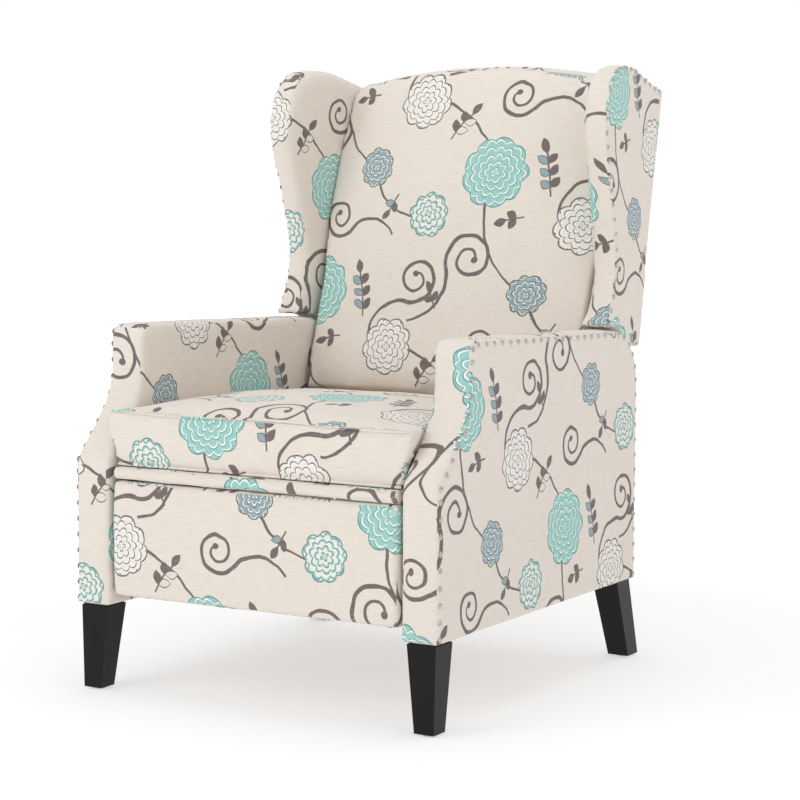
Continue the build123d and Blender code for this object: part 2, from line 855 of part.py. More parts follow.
with BuildPart() as back_rail_mid:
    with BuildSketch(back_plane(outer_back_thickness)):
        with Locations((0, rail_v["mid"])):
            Rectangle(
                2 * rail_half(mid_rail_z), back_rail_height, align=(Align.CENTER, Align.MIN)
            )
    extrude(amount=frame_depth)
    with BuildSketch(back_plane(outer_back_thickness)):
        for side in (-1, 1):
            with Locations((side * (post_half_gap + post_width / 2), rail_v["mid"])):
                Rectangle(post_width, back_rail_height, align=(Align.CENTER, Align.MIN))
    extrude(amount=frame_depth - lap_depth, mode=Mode.SUBTRACT)
finish(back_rail_mid, "back_rail_mid")

with BuildPart() as back_rail_low:
    with BuildSketch(back_plane(outer_back_thickness)):
        with Locations((0, rail_v["low"])):
            Rectangle(2 * post_half_gap, back_rail_height, align=(Align.CENTER, Align.MIN))
    extrude(amount=frame_depth)
finish(back_rail_low, "back_rail_low")

post_x = post_half_gap + post_width
bracket_top_z = pivot_z + bracket_rise
with BuildPart() as recline_bracket:
    with BuildSketch(side_plane(inner_layer)):
        with BuildLine():
            Polyline(
                (pivot_y, pivot_z - bracket_eye),
                (back_y(pivot_z - bracket_eye, outer_back_thickness), pivot_z - bracket_eye),
                (back_y(bracket_top_z, outer_back_thickness), bracket_top_z),
                (back_y(bracket_top_z, frame_front), bracket_top_z),
                (pivot_y, pivot_z + bracket_eye),
                close=True,
            )
        make_face()
        with Locations((pivot_y, pivot_z)):
            Circle(bracket_eye)
            Circle(pivot_radius + running, mode=Mode.SUBTRACT)
    extrude(amount=steel)
finish_pair(recline_bracket, "recline_bracket")

# ---------------------------------------------------------------- wings
wing_points = [
    ((half_depth - ahead) / wing_stretch, sill_z + rise) for ahead, rise in wing_low_corners
] + [
    ((half_depth - ahead) / wing_stretch, overall_height - drop)
    for ahead, drop in wing_high_corners
]


def wing_outline():
    """The wing's side outline in a wing plane's own axes, running on behind the outer back."""
    with BuildSketch() as outline:
        with BuildLine():
            edge = FilletPolyline(wing_points, radius=wing_radii)
            Polyline(edge @ 1, ((edge @ 1).X, sill_z), ((edge @ 0).X, sill_z), edge @ 0)
        make_face()
    return outline.sketch


def arm_clearance(gap):
    """A block of the arm's outline grown by gap, which the wings are cut back from."""
    with BuildPart() as block:
        with BuildSketch(side_plane(arm_inner - arm_thickness)):
            add(arm_outline())
            offset(amount=gap, mode=Mode.REPLACE)
        extrude(amount=3 * arm_thickness)
    return block.part


def behind_back():
    """A block over all that lies behind the outer back's front face."""
    with BuildPart() as block:
        with BuildSketch(back_plane(outer_back_thickness)):
            Rectangle(2 * overall_width, 2 * overall_height)
        extrude(amount=-overall_depth)
    return block.part


with BuildPart() as wing_board:
    with BuildSketch(wing_plane(board_inner_depth)):
        add(wing_outline())
        offset(amount=-wing_board_inset, mode=Mode.REPLACE)
    extrude(amount=wing_board_thickness)
    add(arm_clearance(wing_arm_gap + wing_board_inset), mode=Mode.SUBTRACT)
    add(behind_back(), mode=Mode.SUBTRACT)
finish_pair(wing_board, "wing_board")

def on_wing_rim(edge):
    """Whether an edge is on the wing's front or top, clear of the arm and of the outer back."""
    middle = edge.center()
    return middle.Z > arm_front_height and middle.Y < back_y(middle.Z, frame_front)


with BuildPart() as wing:
    with BuildSketch(wing_plane(wing_thickness)):
        add(wing_outline())
    extrude(amount=wing_thickness)
    add(arm_clearance(wing_arm_gap), mode=Mode.SUBTRACT)
    add(behind_back(), mode=Mode.SUBTRACT)
    for face, rounding in (
        (wing.faces().filter_by(GeomType.PLANE).sort_by(Axis.X)[0], wing_inner_rounding),
        (wing.faces().filter_by(GeomType.PLANE).sort_by(Axis.X)[-1], wing_outer_rounding),
    ):
        fillet(face.edges().filter_by(on_wing_rim), rounding)
    add(wing_board.part, mode=Mode.SUBTRACT)
    for rail_z in (top_rail_z, mid_rail_z):
        with BuildSketch(back_plane(outer_back_thickness)):
            with Locations((0, back_v(rail_z) - seat_gap)):
                Rectangle(
                    2 * rail_half(rail_z) + 4 * seat_gap, back_rail_height + 2 * seat_gap,
                    align=(Align.CENTER, Align.MIN),
                )
        extrude(amount=frame_depth + seat_gap, mode=Mode.SUBTRACT)
finish_pair(wing, "wing")

with BuildLine(wing_plane(0)) as wing_rim:
    FilletPolyline(wing_points, radius=wing_radii)
wing_nail_points = nail_points(
    wing_rim.wire(), wing_plane(0), wing_first_nail, wing_last_nail, -1
)
with BuildPart() as wing_nails:
    outward = wing_plane(0).z_dir
    with Locations(*[Plane(origin=point, z_dir=outward) for point in wing_nail_points]):
        add(nail_dome())
finish_pair(wing_nails, "wing_nailheads")

# ---------------------------------------------------------------- outer back and back cushion
with BuildPart() as outer_back:
    with BuildSketch(back_plane(0)):
        with BuildLine():
            low_v = back_v(back_low_z)
            corner_v = back_v(outer_back_corner_z)
            crest_v = back_v(crest_top_z)
            ThreePointArc((-outer_back_half, corner_v), (0, crest_v), (outer_back_half, corner_v))
            Polyline(
                (outer_back_half, corner_v), (outer_back_half, 0), (lower_back_half, 0),
                (lower_back_half, low_v), (-lower_back_half, low_v), (-lower_back_half, 0),
                (-outer_back_half, 0), (-outer_back_half, corner_v),
            )
        make_face()
    extrude(amount=outer_back_thickness)
    with BuildSketch(back_plane(outer_back_thickness)):
        for side in (-1, 1):
            with Locations((side * (lower_back_half - tail_thickness / 2), low_v)):
                Rectangle(tail_thickness, -low_v, align=(Align.CENTER, Align.MIN))
    extrude(amount=tail_depth - outer_back_thickness)
finish(outer_back, "outer_back")

with BuildPart() as back_cushion:
    for station_z, depth, gap, crown in cushion_stations:
        half = arm_inner - gap
        with BuildSketch(section_plane(station_z)):
            with BuildLine():
                ThreePointArc((-half, -depth), (0, -depth - crown), (half, -depth))
                Polyline(
                    (half, -depth), (cushion_rear_half, -outer_back_thickness),
                    (-cushion_rear_half, -outer_back_thickness), (-half, -depth),
                )
            make_face()
    loft()
    with BuildSketch(Plane.XZ.offset(-half_depth)):
        with BuildLine():
            shoulder = overall_height - crest_drop
            arch = ThreePointArc(
                (-crest_half, shoulder), (0, overall_height), (crest_half, shoulder)
            )
            corner = (crest_half + crest_corner, shoulder - crest_corner)
            right = TangentArc(arch @ 1, corner, tangent=arch % 1)
            left = TangentArc(arch @ 0, (-corner[0], corner[1]), tangent=-(arch % 0))
            Polyline(right @ 1, (half_width, corner[1]), (half_width, 0),
                     (-half_width, 0), (-half_width, corner[1]), left @ 1)
        make_face()
    extrude(amount=overall_depth, mode=Mode.INTERSECT)
    with BuildSketch(back_plane(0)):
        with Locations((0, rail_v["top"] + back_rail_height)):
            Rectangle(2 * half_width, overall_height, align=(Align.CENTER, Align.MAX))
    extrude(amount=frame_front, mode=Mode.SUBTRACT)
    tail_inner = lower_back_half - tail_thickness - seat_gap
    with BuildSketch(back_plane(0)):
        for side in (-1, 1):
            with Locations((side * (tail_inner + arm_thickness / 2), seat_gap)):
                Rectangle(arm_thickness, overall_height, align=(Align.CENTER, Align.MAX))
    extrude(amount=tail_depth + seat_gap, mode=Mode.SUBTRACT)
    relief_top = bracket_top_z + steel
    for side in (-1, 1):
        with Locations((side * (inner_layer - seat_gap), pivot_y - bracket_eye - steel, relief_top)):
            Box(
                2 * arm_inner, overall_depth, overall_height,
                align=(Align.MIN if side > 0 else Align.MAX, Align.MIN, Align.MAX),
                mode=Mode.SUBTRACT,
            )
finish(back_cushion, "back_cushion")
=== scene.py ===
# %% [markdown]
# Wingback recliner
#
# This script dresses a recliner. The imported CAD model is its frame: it says where every piece is
# and how it moves. Hard pieces keep their CAD meshes and get materials. Every upholstered piece is
# built again here as a soft form in the space that its CAD solid holds, because a solid's crisp
# edges look like board, and not like cloth over foam. Lengths are in metres. The chair's front
# faces -Y, +X is to the right of someone who faces it, and the floor is at z = 0.

import json
import math

import bmesh
import bpy
import numpy as np
from mathutils import Matrix, Vector, noise


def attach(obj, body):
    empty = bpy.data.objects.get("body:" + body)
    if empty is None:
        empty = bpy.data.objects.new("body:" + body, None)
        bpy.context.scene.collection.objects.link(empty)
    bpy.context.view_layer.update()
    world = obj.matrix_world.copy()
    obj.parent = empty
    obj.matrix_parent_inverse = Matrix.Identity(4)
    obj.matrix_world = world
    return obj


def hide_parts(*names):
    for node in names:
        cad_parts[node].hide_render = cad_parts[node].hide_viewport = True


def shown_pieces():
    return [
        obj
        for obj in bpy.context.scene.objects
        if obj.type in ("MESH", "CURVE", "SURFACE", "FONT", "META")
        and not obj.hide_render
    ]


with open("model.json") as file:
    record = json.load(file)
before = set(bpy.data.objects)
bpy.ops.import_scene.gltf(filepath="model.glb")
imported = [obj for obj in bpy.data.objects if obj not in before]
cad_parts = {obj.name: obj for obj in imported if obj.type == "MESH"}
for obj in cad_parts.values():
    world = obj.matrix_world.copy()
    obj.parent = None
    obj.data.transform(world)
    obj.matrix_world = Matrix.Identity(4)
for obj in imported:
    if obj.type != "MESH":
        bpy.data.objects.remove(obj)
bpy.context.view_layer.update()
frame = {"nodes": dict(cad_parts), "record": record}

# %% [markdown]
# Outlines and blocks. A padded side of a chair is a flat shape pushed through a thickness. It
# could be a curve with a bevel, but a bevel is the same at every corner, and here each corner has
# its own radius. So an outline is worked out as straight runs, with an arc at each inner corner,
# and the one face on it is extruded.

# %% Outlines and blocks
def rounded_outline(corners, radii, step=0.008):
    """Points along a line of corners whose inner corners are rounded by arcs."""
    corners = [np.array(c, float) for c in corners]
    points = [corners[0]]
    for before, corner, after, radius in zip(corners, corners[1:], corners[2:], radii):
        a = (before - corner) / np.linalg.norm(before - corner)
        b = (after - corner) / np.linalg.norm(after - corner)
        angle = math.acos(float(np.clip(a @ b, -1, 1)))
        reach = radius / math.tan(angle / 2)
        start = corner + a * reach
        centre = corner + (a + b) / np.linalg.norm(a + b) * radius / math.sin(angle / 2)
        first = math.atan2(*(start - centre)[::-1])
        last = math.atan2(*(corner + b * reach - centre)[::-1])
        sweep = (last - first + math.pi) % (2 * math.pi) - math.pi
        count = max(3, int(abs(sweep) * radius / step))
        for k in range(count + 1):
            turn = first + sweep * k / count
            points.append(centre + radius * np.array((math.cos(turn), math.sin(turn))))
    points.append(corners[-1])
    return points


def new_object(name, data):
    made = bpy.data.objects.new(name, data)
    bpy.context.scene.collection.objects.link(made)
    return made


def edit_mesh(mesh, change):
    """Open a mesh as a bmesh, which bmesh.ops can work on, change it and put it back."""
    bm = bmesh.new()
    bm.from_mesh(mesh)
    change(bm)
    bm.to_mesh(mesh)
    bm.free()


def slab(name, outline, place, thickness):
    """A closed block: place(a, b, depth) puts an outline point in the room at depth 0 or thickness."""
    def extrude(bm):
        near = bm.faces.new([bm.verts.new(place(a, b, 0.0)) for a, b in outline])
        far = bmesh.ops.extrude_face_region(bm, geom=[near], use_keep_orig=True)
        far_points = [part for part in far["geom"] if isinstance(part, bmesh.types.BMVert)]
        across = Vector(place(0, 0, thickness)) - Vector(place(0, 0, 0.0))
        bmesh.ops.translate(bm, verts=far_points, vec=across)
        bmesh.ops.recalc_face_normals(bm, faces=bm.faces)

    mesh = bpy.data.meshes.new(name)
    edit_mesh(mesh, extrude)
    return new_object(name, mesh)


print("outlines and blocks ready")

# %% [markdown]
# Copies and remeshing. A soft form starts from a block, or from a copy of its CAD node, whose
# loose triangles are merged first. A Subdivision Surface would round it, but it creases along the
# long thin faces that a CAD mesh has. So a voxel remesh gives it small even faces, and every later
# step may then move each point by itself.

# %% Copies and remeshing
def copy_of_node(name, node):
    """A merged copy of a CAD node's mesh, to start a soft form from."""
    mesh = frame["nodes"][node].data.copy()
    mesh.materials.clear()
    edit_mesh(mesh, lambda bm: bmesh.ops.remove_doubles(bm, verts=bm.verts, dist=1e-5))
    return new_object(name, mesh)


def keep_modifiers(piece):
    """Replace a piece's mesh by what its modifiers make of it."""
    graph = bpy.context.evaluated_depsgraph_get()
    mesh = bpy.data.meshes.new_from_object(piece.evaluated_get(graph))
    piece.modifiers.clear()
    piece.data = mesh


def remesh(piece, voxel):
    """Even small faces all over a closed form."""
    tool = piece.modifiers.new("even", "REMESH")
    tool.mode = "VOXEL"
    tool.voxel_size = voxel
    keep_modifiers(piece)


def shade_smooth(piece):
    for polygon in piece.data.polygons:
        polygon.use_smooth = True


print("copies and remeshing ready")

# %% [markdown]
# Points as numbers. A loop over a hundred thousand points is slow in Python, so all of a mesh's
# points are read into one numpy array, moved by a formula and put back. Where an effect starts and
# ends is a share from 0 to 1 for each point, like a painted weight: a ramp or a hump.

# %% Points as numbers
def points_of(piece):
    found = np.empty(len(piece.data.vertices) * 3)
    piece.data.vertices.foreach_get("co", found)
    return found.reshape(-1, 3)


def put_points(piece, points):
    piece.data.vertices.foreach_set("co", points.ravel())
    piece.data.update()


def normals_of(piece):
    found = np.empty(len(piece.data.vertices) * 3)
    piece.data.vertex_normals.foreach_get("vector", found)
    return found.reshape(-1, 3)


def ramp(past, width):
    """A share that rises from 0 at a limit to 1 once a value is a width past it."""
    return np.clip(past / width, 0, 1)


def hump(off, width):
    """A share that is 1 at a place and fades within about a width on both sides of it."""
    return np.exp(-(off / width) ** 2)


print("points as numbers ready")

# %% [markdown]
# Padding. Foam under tight cloth has no sharp edge, and no face of it is quite flat. The Smooth
# modifier could round it, with a vertex group for what has to stay. Here the share that stays is a
# formula of each point's place, so numpy does the same sum: each point moves towards the middle of
# its neighbours. A ripple is a wide, very shallow noise. A pucker is a small noise beside a seam.

# %% Padding
def neighbour_mean(piece):
    """A function that averages any per-point values over each point's neighbours."""
    edges = np.empty(len(piece.data.edges) * 2, int)
    piece.data.edges.foreach_get("vertices", edges)
    edges = edges.reshape(-1, 2)
    count = np.bincount(edges.ravel(), minlength=len(piece.data.vertices)).astype(float)

    def mean(values):
        total = np.zeros_like(values)
        np.add.at(total, edges[:, 0], values[edges[:, 1]])
        np.add.at(total, edges[:, 1], values[edges[:, 0]])
        return total / count[:, None]

    return mean


def smooth(piece, rounds, keep=None):
    """Round a form off. keep is a per-point share, 1 where the form stays as it is."""
    mean = neighbour_mean(piece)
    points = points_of(piece)
    ease = 0.5 if keep is None else 0.5 * (1 - keep)[:, None]
    for _ in range(rounds):
        points = points + (mean(points) - points) * ease
    put_points(piece, points)


def ripple(piece, height, size, seed):
    """Very shallow unevenness, as cloth over foam has."""
    points, normals = points_of(piece), normals_of(piece)
    lift = np.array([
        noise.fractal(Vector(p) / size + Vector((seed, seed, seed)), 1.0, 2.0, 3) for p in points
    ])
    put_points(piece, points + normals * (lift * height)[:, None])


def pucker(piece, weight, height, size, seed):
    """Small gathers across a seam, where weight says how much each point takes part."""
    points, normals = points_of(piece), normals_of(piece)
    lift = np.array([
        noise.noise(Vector((p[0] / size, p[1] / size, seed + p[2] * 6))) for p in points
    ])
    put_points(piece, points + normals * (lift * height * weight)[:, None])


print("padding ready")

# %% [markdown]
# Print places. Each cover of the chair is cut from one printed cloth, so the print runs over an
# edge where the cloth does, and starts afresh at a seam. Marking seams and unwrapping would do
# it, but would also stretch the print a little. These forms are nearly flat or bent one way, so a
# rule for each piece says how far along the cloth each face corner lies. A UV map keeps the answer.

# %% Print places
SIDE_FACING = 0.62


def face_uv(piece, rule):
    """Lay the print on a piece: rule(normals, points) gives each face corner's u and v in metres."""
    mesh = piece.data
    count = len(mesh.loops)
    verts = np.empty(count, int)
    mesh.loops.foreach_get("vertex_index", verts)
    faces = np.repeat(np.arange(len(mesh.polygons)), [p.loop_total for p in mesh.polygons])
    normals = np.empty(len(mesh.polygons) * 3)
    mesh.polygons.foreach_get("normal", normals)
    normals = normals.reshape(-1, 3)[faces]
    points = points_of(piece)[verts]
    layer = mesh.uv_layers.get("print") or mesh.uv_layers.new(name="print")
    u, v = rule(normals, points)
    layer.data.foreach_set("uv", np.stack([u, v], 1).ravel())


def unrolled(normals, run, rise, depth, side, offset):
    """Print places for an arm or wing, whose inside, front and top are one cloth.

    run is how far back a point lies, rise its height and depth how far it is from the inner face.
    offset moves the print: u and v for the whole piece, then u and v for the outer cloth alone.
    """
    outer = normals[:, 0] * side > SIDE_FACING
    inner = normals[:, 0] * side < -SIDE_FACING
    front = (np.abs(normals[:, 1]) >= np.abs(normals[:, 2])) & ~outer
    top = ~outer & ~front
    along = -run + np.where(front & ~inner, depth * np.sign(-normals[:, 1]), 0.0)
    u = np.where(outer, run * side, along * side) + offset[0]
    v = rise + np.where(top & ~inner, depth, 0.0) + offset[1]
    return u + np.where(outer, offset[2], 0.0), v + np.where(outer, offset[3], 0.0)


def dress(piece, body, node):
    """Hang a padded piece on the empty of the body that carries it, and hide the CAD node it stands for.
    """
    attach(piece, body)
    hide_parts(node)
    print(piece.name, "has", len(piece.data.polygons), "faces")


print("print places ready")

# %% [markdown]
# Arms. On the real chair an arm is a board frame under thin foam, with cloth pulled tight over it.
# One cloth covers its inside, front and top, and a second one its outer side, along whose edge the
# nails run. A Bevel modifier would round every edge alike. Here the block is remeshed and
# smoothed, the flat underside stays, and the outer side keeps most of its edge, as the nails hold
# it there. Nails pull down into padding, so that cloth stands a little higher than in the CAD.

# %% Arms
ARM_INNER = 0.26785
ARM_OUTER = 0.33435
ARM_FLOOR = 0.140
ARM_CORNERS = [
    (-0.422275, ARM_FLOOR), (-0.422275, 0.374), (-0.328275, 0.478),
    (-0.328275, 0.5865), (0.261, 0.5675), (0.261, ARM_FLOOR),
]
ARM_RADII = [0.014, 0.110, 0.022, 0.090]
ARM_CLEAR = 0.0012
ARM_NAIL_SINK = 0.0008
ARM_VOXEL = 0.0055


def make_arm(name, side, offset):
    """side is 1 for the arm at +X and -1 for the other. offset moves the print."""
    inner = ARM_INNER + ARM_CLEAR
    nailed = ARM_OUTER + ARM_NAIL_SINK

    def place(y, z, depth):
        return (side * (inner + depth), y, z)

    arm = slab(name, rounded_outline(ARM_CORNERS, ARM_RADII), place, nailed - inner - 0.0002)
    remesh(arm, ARM_VOXEL)
    points = points_of(arm)
    outward = (np.abs(points[:, 0]) - inner) / (ARM_OUTER - inner)
    underside = ramp(ARM_FLOOR + 0.01 - points[:, 2], 0.01)
    held_by_nails = np.clip(outward * 8 - 7.2, 0, 0.8)
    smooth(arm, 14, keep=np.clip(underside + held_by_nails, 0, 1))
    ripple(arm, height=0.0006, size=0.16, seed=3 + side)
    points = points_of(arm)
    points[:, 0] = side * np.clip(np.abs(points[:, 0]), inner - 0.0008, nailed)
    points[:, 2] = np.maximum(points[:, 2], ARM_FLOOR)
    put_points(arm, points)
    shade_smooth(arm)
    face_uv(arm, lambda n, p: unrolled(n, p[:, 1], p[:, 2], np.abs(p[:, 0]) - ARM_INNER, side, offset))
    dress(arm, "base", name.replace("soft_", ""))


make_arm("soft_arm_left", -1, (0.11, 0.30, 0.07, 0.15))
make_arm("soft_arm_right", 1, (0.0, 0.0, 0.10, 0.06))

# %% [markdown]
# The back's lean. The whole back leans by one angle, and several pieces need to know how far back
# its rear face is at some height. It starts at the sill, the rear face's lower edge.

# %% The back's lean
RAKE = math.radians(11.62)
SILL = Vector((0, 0.326, 0.532))


def back_y(z, out=0.0):
    """How far back the rear face is at a height, or a face that lies a distance in front of it."""
    return SILL.y + (z - SILL.z) * math.tan(RAKE) - out / math.cos(RAKE)


print("the back leans from y", round(back_y(SILL.z), 3), "to y", round(back_y(1.0), 3))

# %% [markdown]
# Wings. A wing is a board with thick foam on its inner side and front edge, so it looks like a
# plump roll from the front and flat from outside. It leans with the back and flares outwards
# towards its front edge. Its lower edge runs round the arm's rear corner with a small gap, so that
# the chair can recline. This cell works out its outline, seen from the side.

# %% The wings' outline
WING_CORNERS = [
    (0.142, 0.555), (0.1945, 0.675), (0.127, 0.9065), (0.159, 1.0095), (0.263, 1.0115),
    (0.430, 0.9655),
]
WING_RADII = [0.151, 0.102, 0.073, 0.102]
WING_ROOT = 0.585
WING_TOP_REAR = 0.9725
WING_GAP = 0.0105
ARM_REAR_CENTRE = (0.171, 0.4805)
ARM_REAR_CLEAR = 0.0945


def wing_outline():
    """The wing seen from the side: its front edge, the back's lean and the arc round the arm."""
    edge = rounded_outline(WING_CORNERS, WING_RADII)
    edge = [p for p in edge if p[0] < back_y(p[1], 0.011) and p[1] > WING_ROOT]
    top_rear = (back_y(WING_TOP_REAR, WING_GAP), WING_TOP_REAR)
    bottom_rear = (back_y(SILL.z, WING_GAP), SILL.z)
    arc_first = math.asin((SILL.z - ARM_REAR_CENTRE[1]) / ARM_REAR_CLEAR)
    arc_last = math.radians(99)
    arc = []
    for k in range(15):
        turn = arc_first + (arc_last - arc_first) * k / 14
        arc.append((ARM_REAR_CENTRE[0] + ARM_REAR_CLEAR * math.cos(turn),
                    ARM_REAR_CENTRE[1] + ARM_REAR_CLEAR * math.sin(turn)))
    return [*edge, top_rear, bottom_rear, *arc]


print("the wings' outline has", len(wing_outline()), "points")

# %% [markdown]
# The wings' padding. It could be sculpted by hand, but a smoothed block is the same each time. Far
# more rounds of smoothing than on an arm make it plump, while its nailed outer edge and its rear
# face stay. Its lower front end stays full and swells into a small roll above the arm.

# %% Wings
WING_FRONT = (0.330, 0.132)
WING_REAR = (0.303, 0.416)
WING_THICKNESS = 0.045
WING_NAIL_SINK = 0.0001
WING_VOXEL = 0.0045
NAILED_EDGE = 0.006
FULL_END_TOP = 0.622
FULL_END_REAR = 0.225
ROLL_HEIGHT = 0.571
ROLL_REAR = 0.215
wing_run = Vector((WING_REAR[0] - WING_FRONT[0], WING_REAR[1] - WING_FRONT[1], 0)).normalized()
wing_out = Vector((wing_run.y, -wing_run.x, 0))


def wing_place(y, z, depth):
    """A wing point at depth y and height z, a distance inwards from its outer face."""
    along = (y - WING_FRONT[1]) / wing_run.y
    base = Vector((WING_FRONT[0], WING_FRONT[1], 0)) + wing_run * along - wing_out * depth
    return Vector((base.x, base.y, z))


def from_wing_front(points):
    """How far points lie from the outer face's front edge: back along the face, and inwards."""
    x = np.abs(points[:, 0]) - WING_FRONT[0]
    y = points[:, 1] - WING_FRONT[1]
    return x * wing_run.x + y * wing_run.y, -x * wing_out.x - y * wing_out.y


def make_wing(name, side, offset):
    def place(y, z, depth):
        spot = wing_place(y, z, depth - WING_NAIL_SINK)
        return (side * spot.x, spot.y, spot.z)

    wing = slab(name, wing_outline(), place, WING_THICKNESS + WING_NAIL_SINK)
    remesh(wing, WING_VOXEL)
    points = points_of(wing)
    inward = from_wing_front(points)[1]
    near_outer = ramp(NAILED_EDGE - inward, NAILED_EDGE)
    rear = ramp(points[:, 1] - back_y(points[:, 2], 0.022), 0.008)
    full_end = ramp(FULL_END_TOP - points[:, 2], 0.035) * ramp(FULL_END_REAR - points[:, 1], 0.03)
    smooth(wing, 70, keep=np.clip(near_outer * 0.985 + rear + full_end * 0.93, 0, 0.995))

    points, normals = points_of(wing), normals_of(wing)
    roll = hump(points[:, 2] - ROLL_HEIGHT, 0.014) * ramp(ROLL_REAR - points[:, 1], 0.03)
    not_under = np.clip(1 + 1.3 * normals[:, 2], 0, 1)
    lift = 0.006 * roll * not_under * (1 - near_outer * 0.8)
    put_points(wing, points + normals * lift[:, None])
    ripple(wing, height=0.0008, size=0.12, seed=9 + side)
    shade_smooth(wing)

    def rule(normals, points):
        run, inward = from_wing_front(points)
        return unrolled(normals, run, points[:, 2], WING_THICKNESS - inward, side, offset)

    face_uv(wing, rule)
    dress(wing, "back", name.replace("soft_", ""))


make_wing("soft_wing_left", -1, (0.30, 0.18, 0.03, 0.20))
make_wing("soft_wing_right", 1, (0.16, 0.40, 0.21, 0.05))

# %% [markdown]
# Swelling. A cushion is a sewn cover stuffed until it is tight, so it bulges most where it is
# farthest from a seam. Inflating it by a formula looks like rubber. Blender's Cloth with pressure
# and no gravity gives the bulges and creases of a real cover. Seams are pinned by a vertex group,
# and how far any point may move is capped, so that the cushion stays in the space of its solid.

# %% Swelling
def swell(piece, pressure, cap, pinned, frames=20):
    """Blow a closed form up with Cloth. pinned gives each point's hold, 1 where it stays."""
    start = points_of(piece)
    hold = piece.vertex_groups.new(name="hold")
    for index, weight in enumerate(pinned):
        if weight > 0.01:
            hold.add([index], float(weight), "REPLACE")
    cloth = piece.modifiers.new("cloth", "CLOTH")
    setting = cloth.settings
    setting.quality = 6
    setting.mass = 0.3
    setting.tension_stiffness = 25
    setting.compression_stiffness = 25
    setting.shear_stiffness = 12
    setting.bending_stiffness = 1.5
    setting.use_pressure = True
    setting.uniform_pressure_force = pressure
    setting.effector_weights.gravity = 0
    setting.vertex_group_mass = "hold"
    cloth.collision_settings.use_collision = False
    cloth.collision_settings.use_self_collision = False
    cloth.point_cache.frame_end = frames
    for frame_number in range(1, frames + 1):
        bpy.context.scene.frame_set(frame_number)
    keep_modifiers(piece)
    bpy.context.scene.frame_set(1)
    moved = points_of(piece) - start
    length = np.linalg.norm(moved, axis=1)
    share = np.minimum(1.0, cap / np.maximum(length, 1e-9)) * (1 - pinned)
    put_points(piece, start + moved * share[:, None])
    print(piece.name, "moved up to", round(float((length * share).max()) * 1000, 1), "mm")


print("swelling ready")

# %% [markdown]
# Cords along seams. Upholsterers sew a thin cord into a cushion's seam. A curve with a round bevel
# makes one at any thickness. It is turned into a mesh and joined to its cushion, because both are
# one piece of work and move as one. Remeshing would swallow anything so thin, so it comes last.

# %% Cords along seams
def tube(name, path, radius):
    """A round cord along a path of points, with flat ends."""
    curve = bpy.data.curves.new(name, "CURVE")
    curve.dimensions = "3D"
    curve.bevel_depth = radius
    curve.bevel_resolution = 2
    curve.use_fill_caps = True
    spline = curve.splines.new("POLY")
    spline.points.add(len(path) - 1)
    for point, place in zip(spline.points, path):
        point.co = (*place, 1)
    holder = new_object(name + "_path", curve)
    graph = bpy.context.evaluated_depsgraph_get()
    mesh = bpy.data.meshes.new_from_object(holder.evaluated_get(graph))
    mesh.name = name
    bpy.data.objects.remove(holder)

    def close(bm):
        bmesh.ops.remove_doubles(bm, verts=bm.verts, dist=1e-6)
        bmesh.ops.recalc_face_normals(bm, faces=bm.faces)

    edit_mesh(mesh, close)
    return new_object(name, mesh)


def join(piece, extra):
    """Make a small piece, such as a seam's cord, part of a larger one."""
    edit_mesh(piece.data, lambda bm: bm.from_mesh(extra.data))
    bpy.data.objects.remove(extra)


def cord_across(piece, name, height, radius, reach):
    """A thin cord from side to side over a piece's front, at a height given for each x."""
    points = points_of(piece)
    front = points[points[:, 1] < SEAT_FRONT]
    path = []
    for x in np.linspace(-reach, reach, 72):
        near = front[(np.abs(front[:, 0] - x) < 0.006) & (np.abs(front[:, 2] - height(x)) < 0.006)]
        path.append((x, near[:, 1].min() + radius * 0.25, height(x)))
    return tube(name, path, radius)


print("cords ready")

# %% [markdown]
# Seat cushion. It is a wide box of foam under a stuffed cover. A seam runs across its front, with
# a deep band below it, a low crown above it and a welt along the band's lower edge. Its solid,
# blown up as it is, would be a bolster, so the seam, the band, the lip and the base are held. The
# seam then puckers a little, as each stitch draws the cloth in.

# %% Seat, blown up
SEAT_VOXEL = 0.0055
SEAT_SEAM = 0.452
SEAT_FRONT = -0.395
SEAT_BASE = 0.424
SEAT_LIP = 0.372


def blow_up_seat(seat):
    points = points_of(seat)
    front = ramp(SEAT_FRONT + 0.012 - points[:, 1], 0.010)
    at_seam = hump(points[:, 2] - SEAT_SEAM, 0.008) * front
    band = front * ramp(SEAT_SEAM - points[:, 2], 0.006)
    base = ramp(SEAT_BASE - points[:, 2], 0.008) * (1 - front)
    lip = ramp(SEAT_LIP - points[:, 2], 0.004)
    smooth(seat, 6, keep=np.clip(at_seam * 0.85 + band * 0.8 + lip * 0.8, 0, 0.95))

    points, normals = points_of(seat), normals_of(seat)
    draw_in = 0.007 * ramp(points[:, 2] - SEAT_SEAM - 0.002, 0.012)
    put_points(seat, points - normals * draw_in[:, None])
    held = np.clip(base + at_seam + band * 0.7 + lip, 0, 1)
    swell(seat, pressure=4.5, cap=0.012, pinned=held)
    smooth(seat, 3, keep=at_seam * 0.9)
    near_seam = hump(points_of(seat)[:, 2] - SEAT_SEAM, 0.014) * front
    pucker(seat, near_seam, height=0.0022, size=0.026, seed=4.0)


seat = copy_of_node("soft_seat", "seat_cushion")
remesh(seat, SEAT_VOXEL)
blow_up_seat(seat)
print("the seat's seam is at", SEAT_SEAM, "and its front at", SEAT_FRONT)

# %% [markdown]
# The seat's settled form. A used cushion isn't an even bulge. Its crown falls towards the rear, its
# rear is tucked in under the back, and its top corners spread over the scooped arms. A lattice
# could bend it so, but a formula of each point's place says in numbers what goes where.

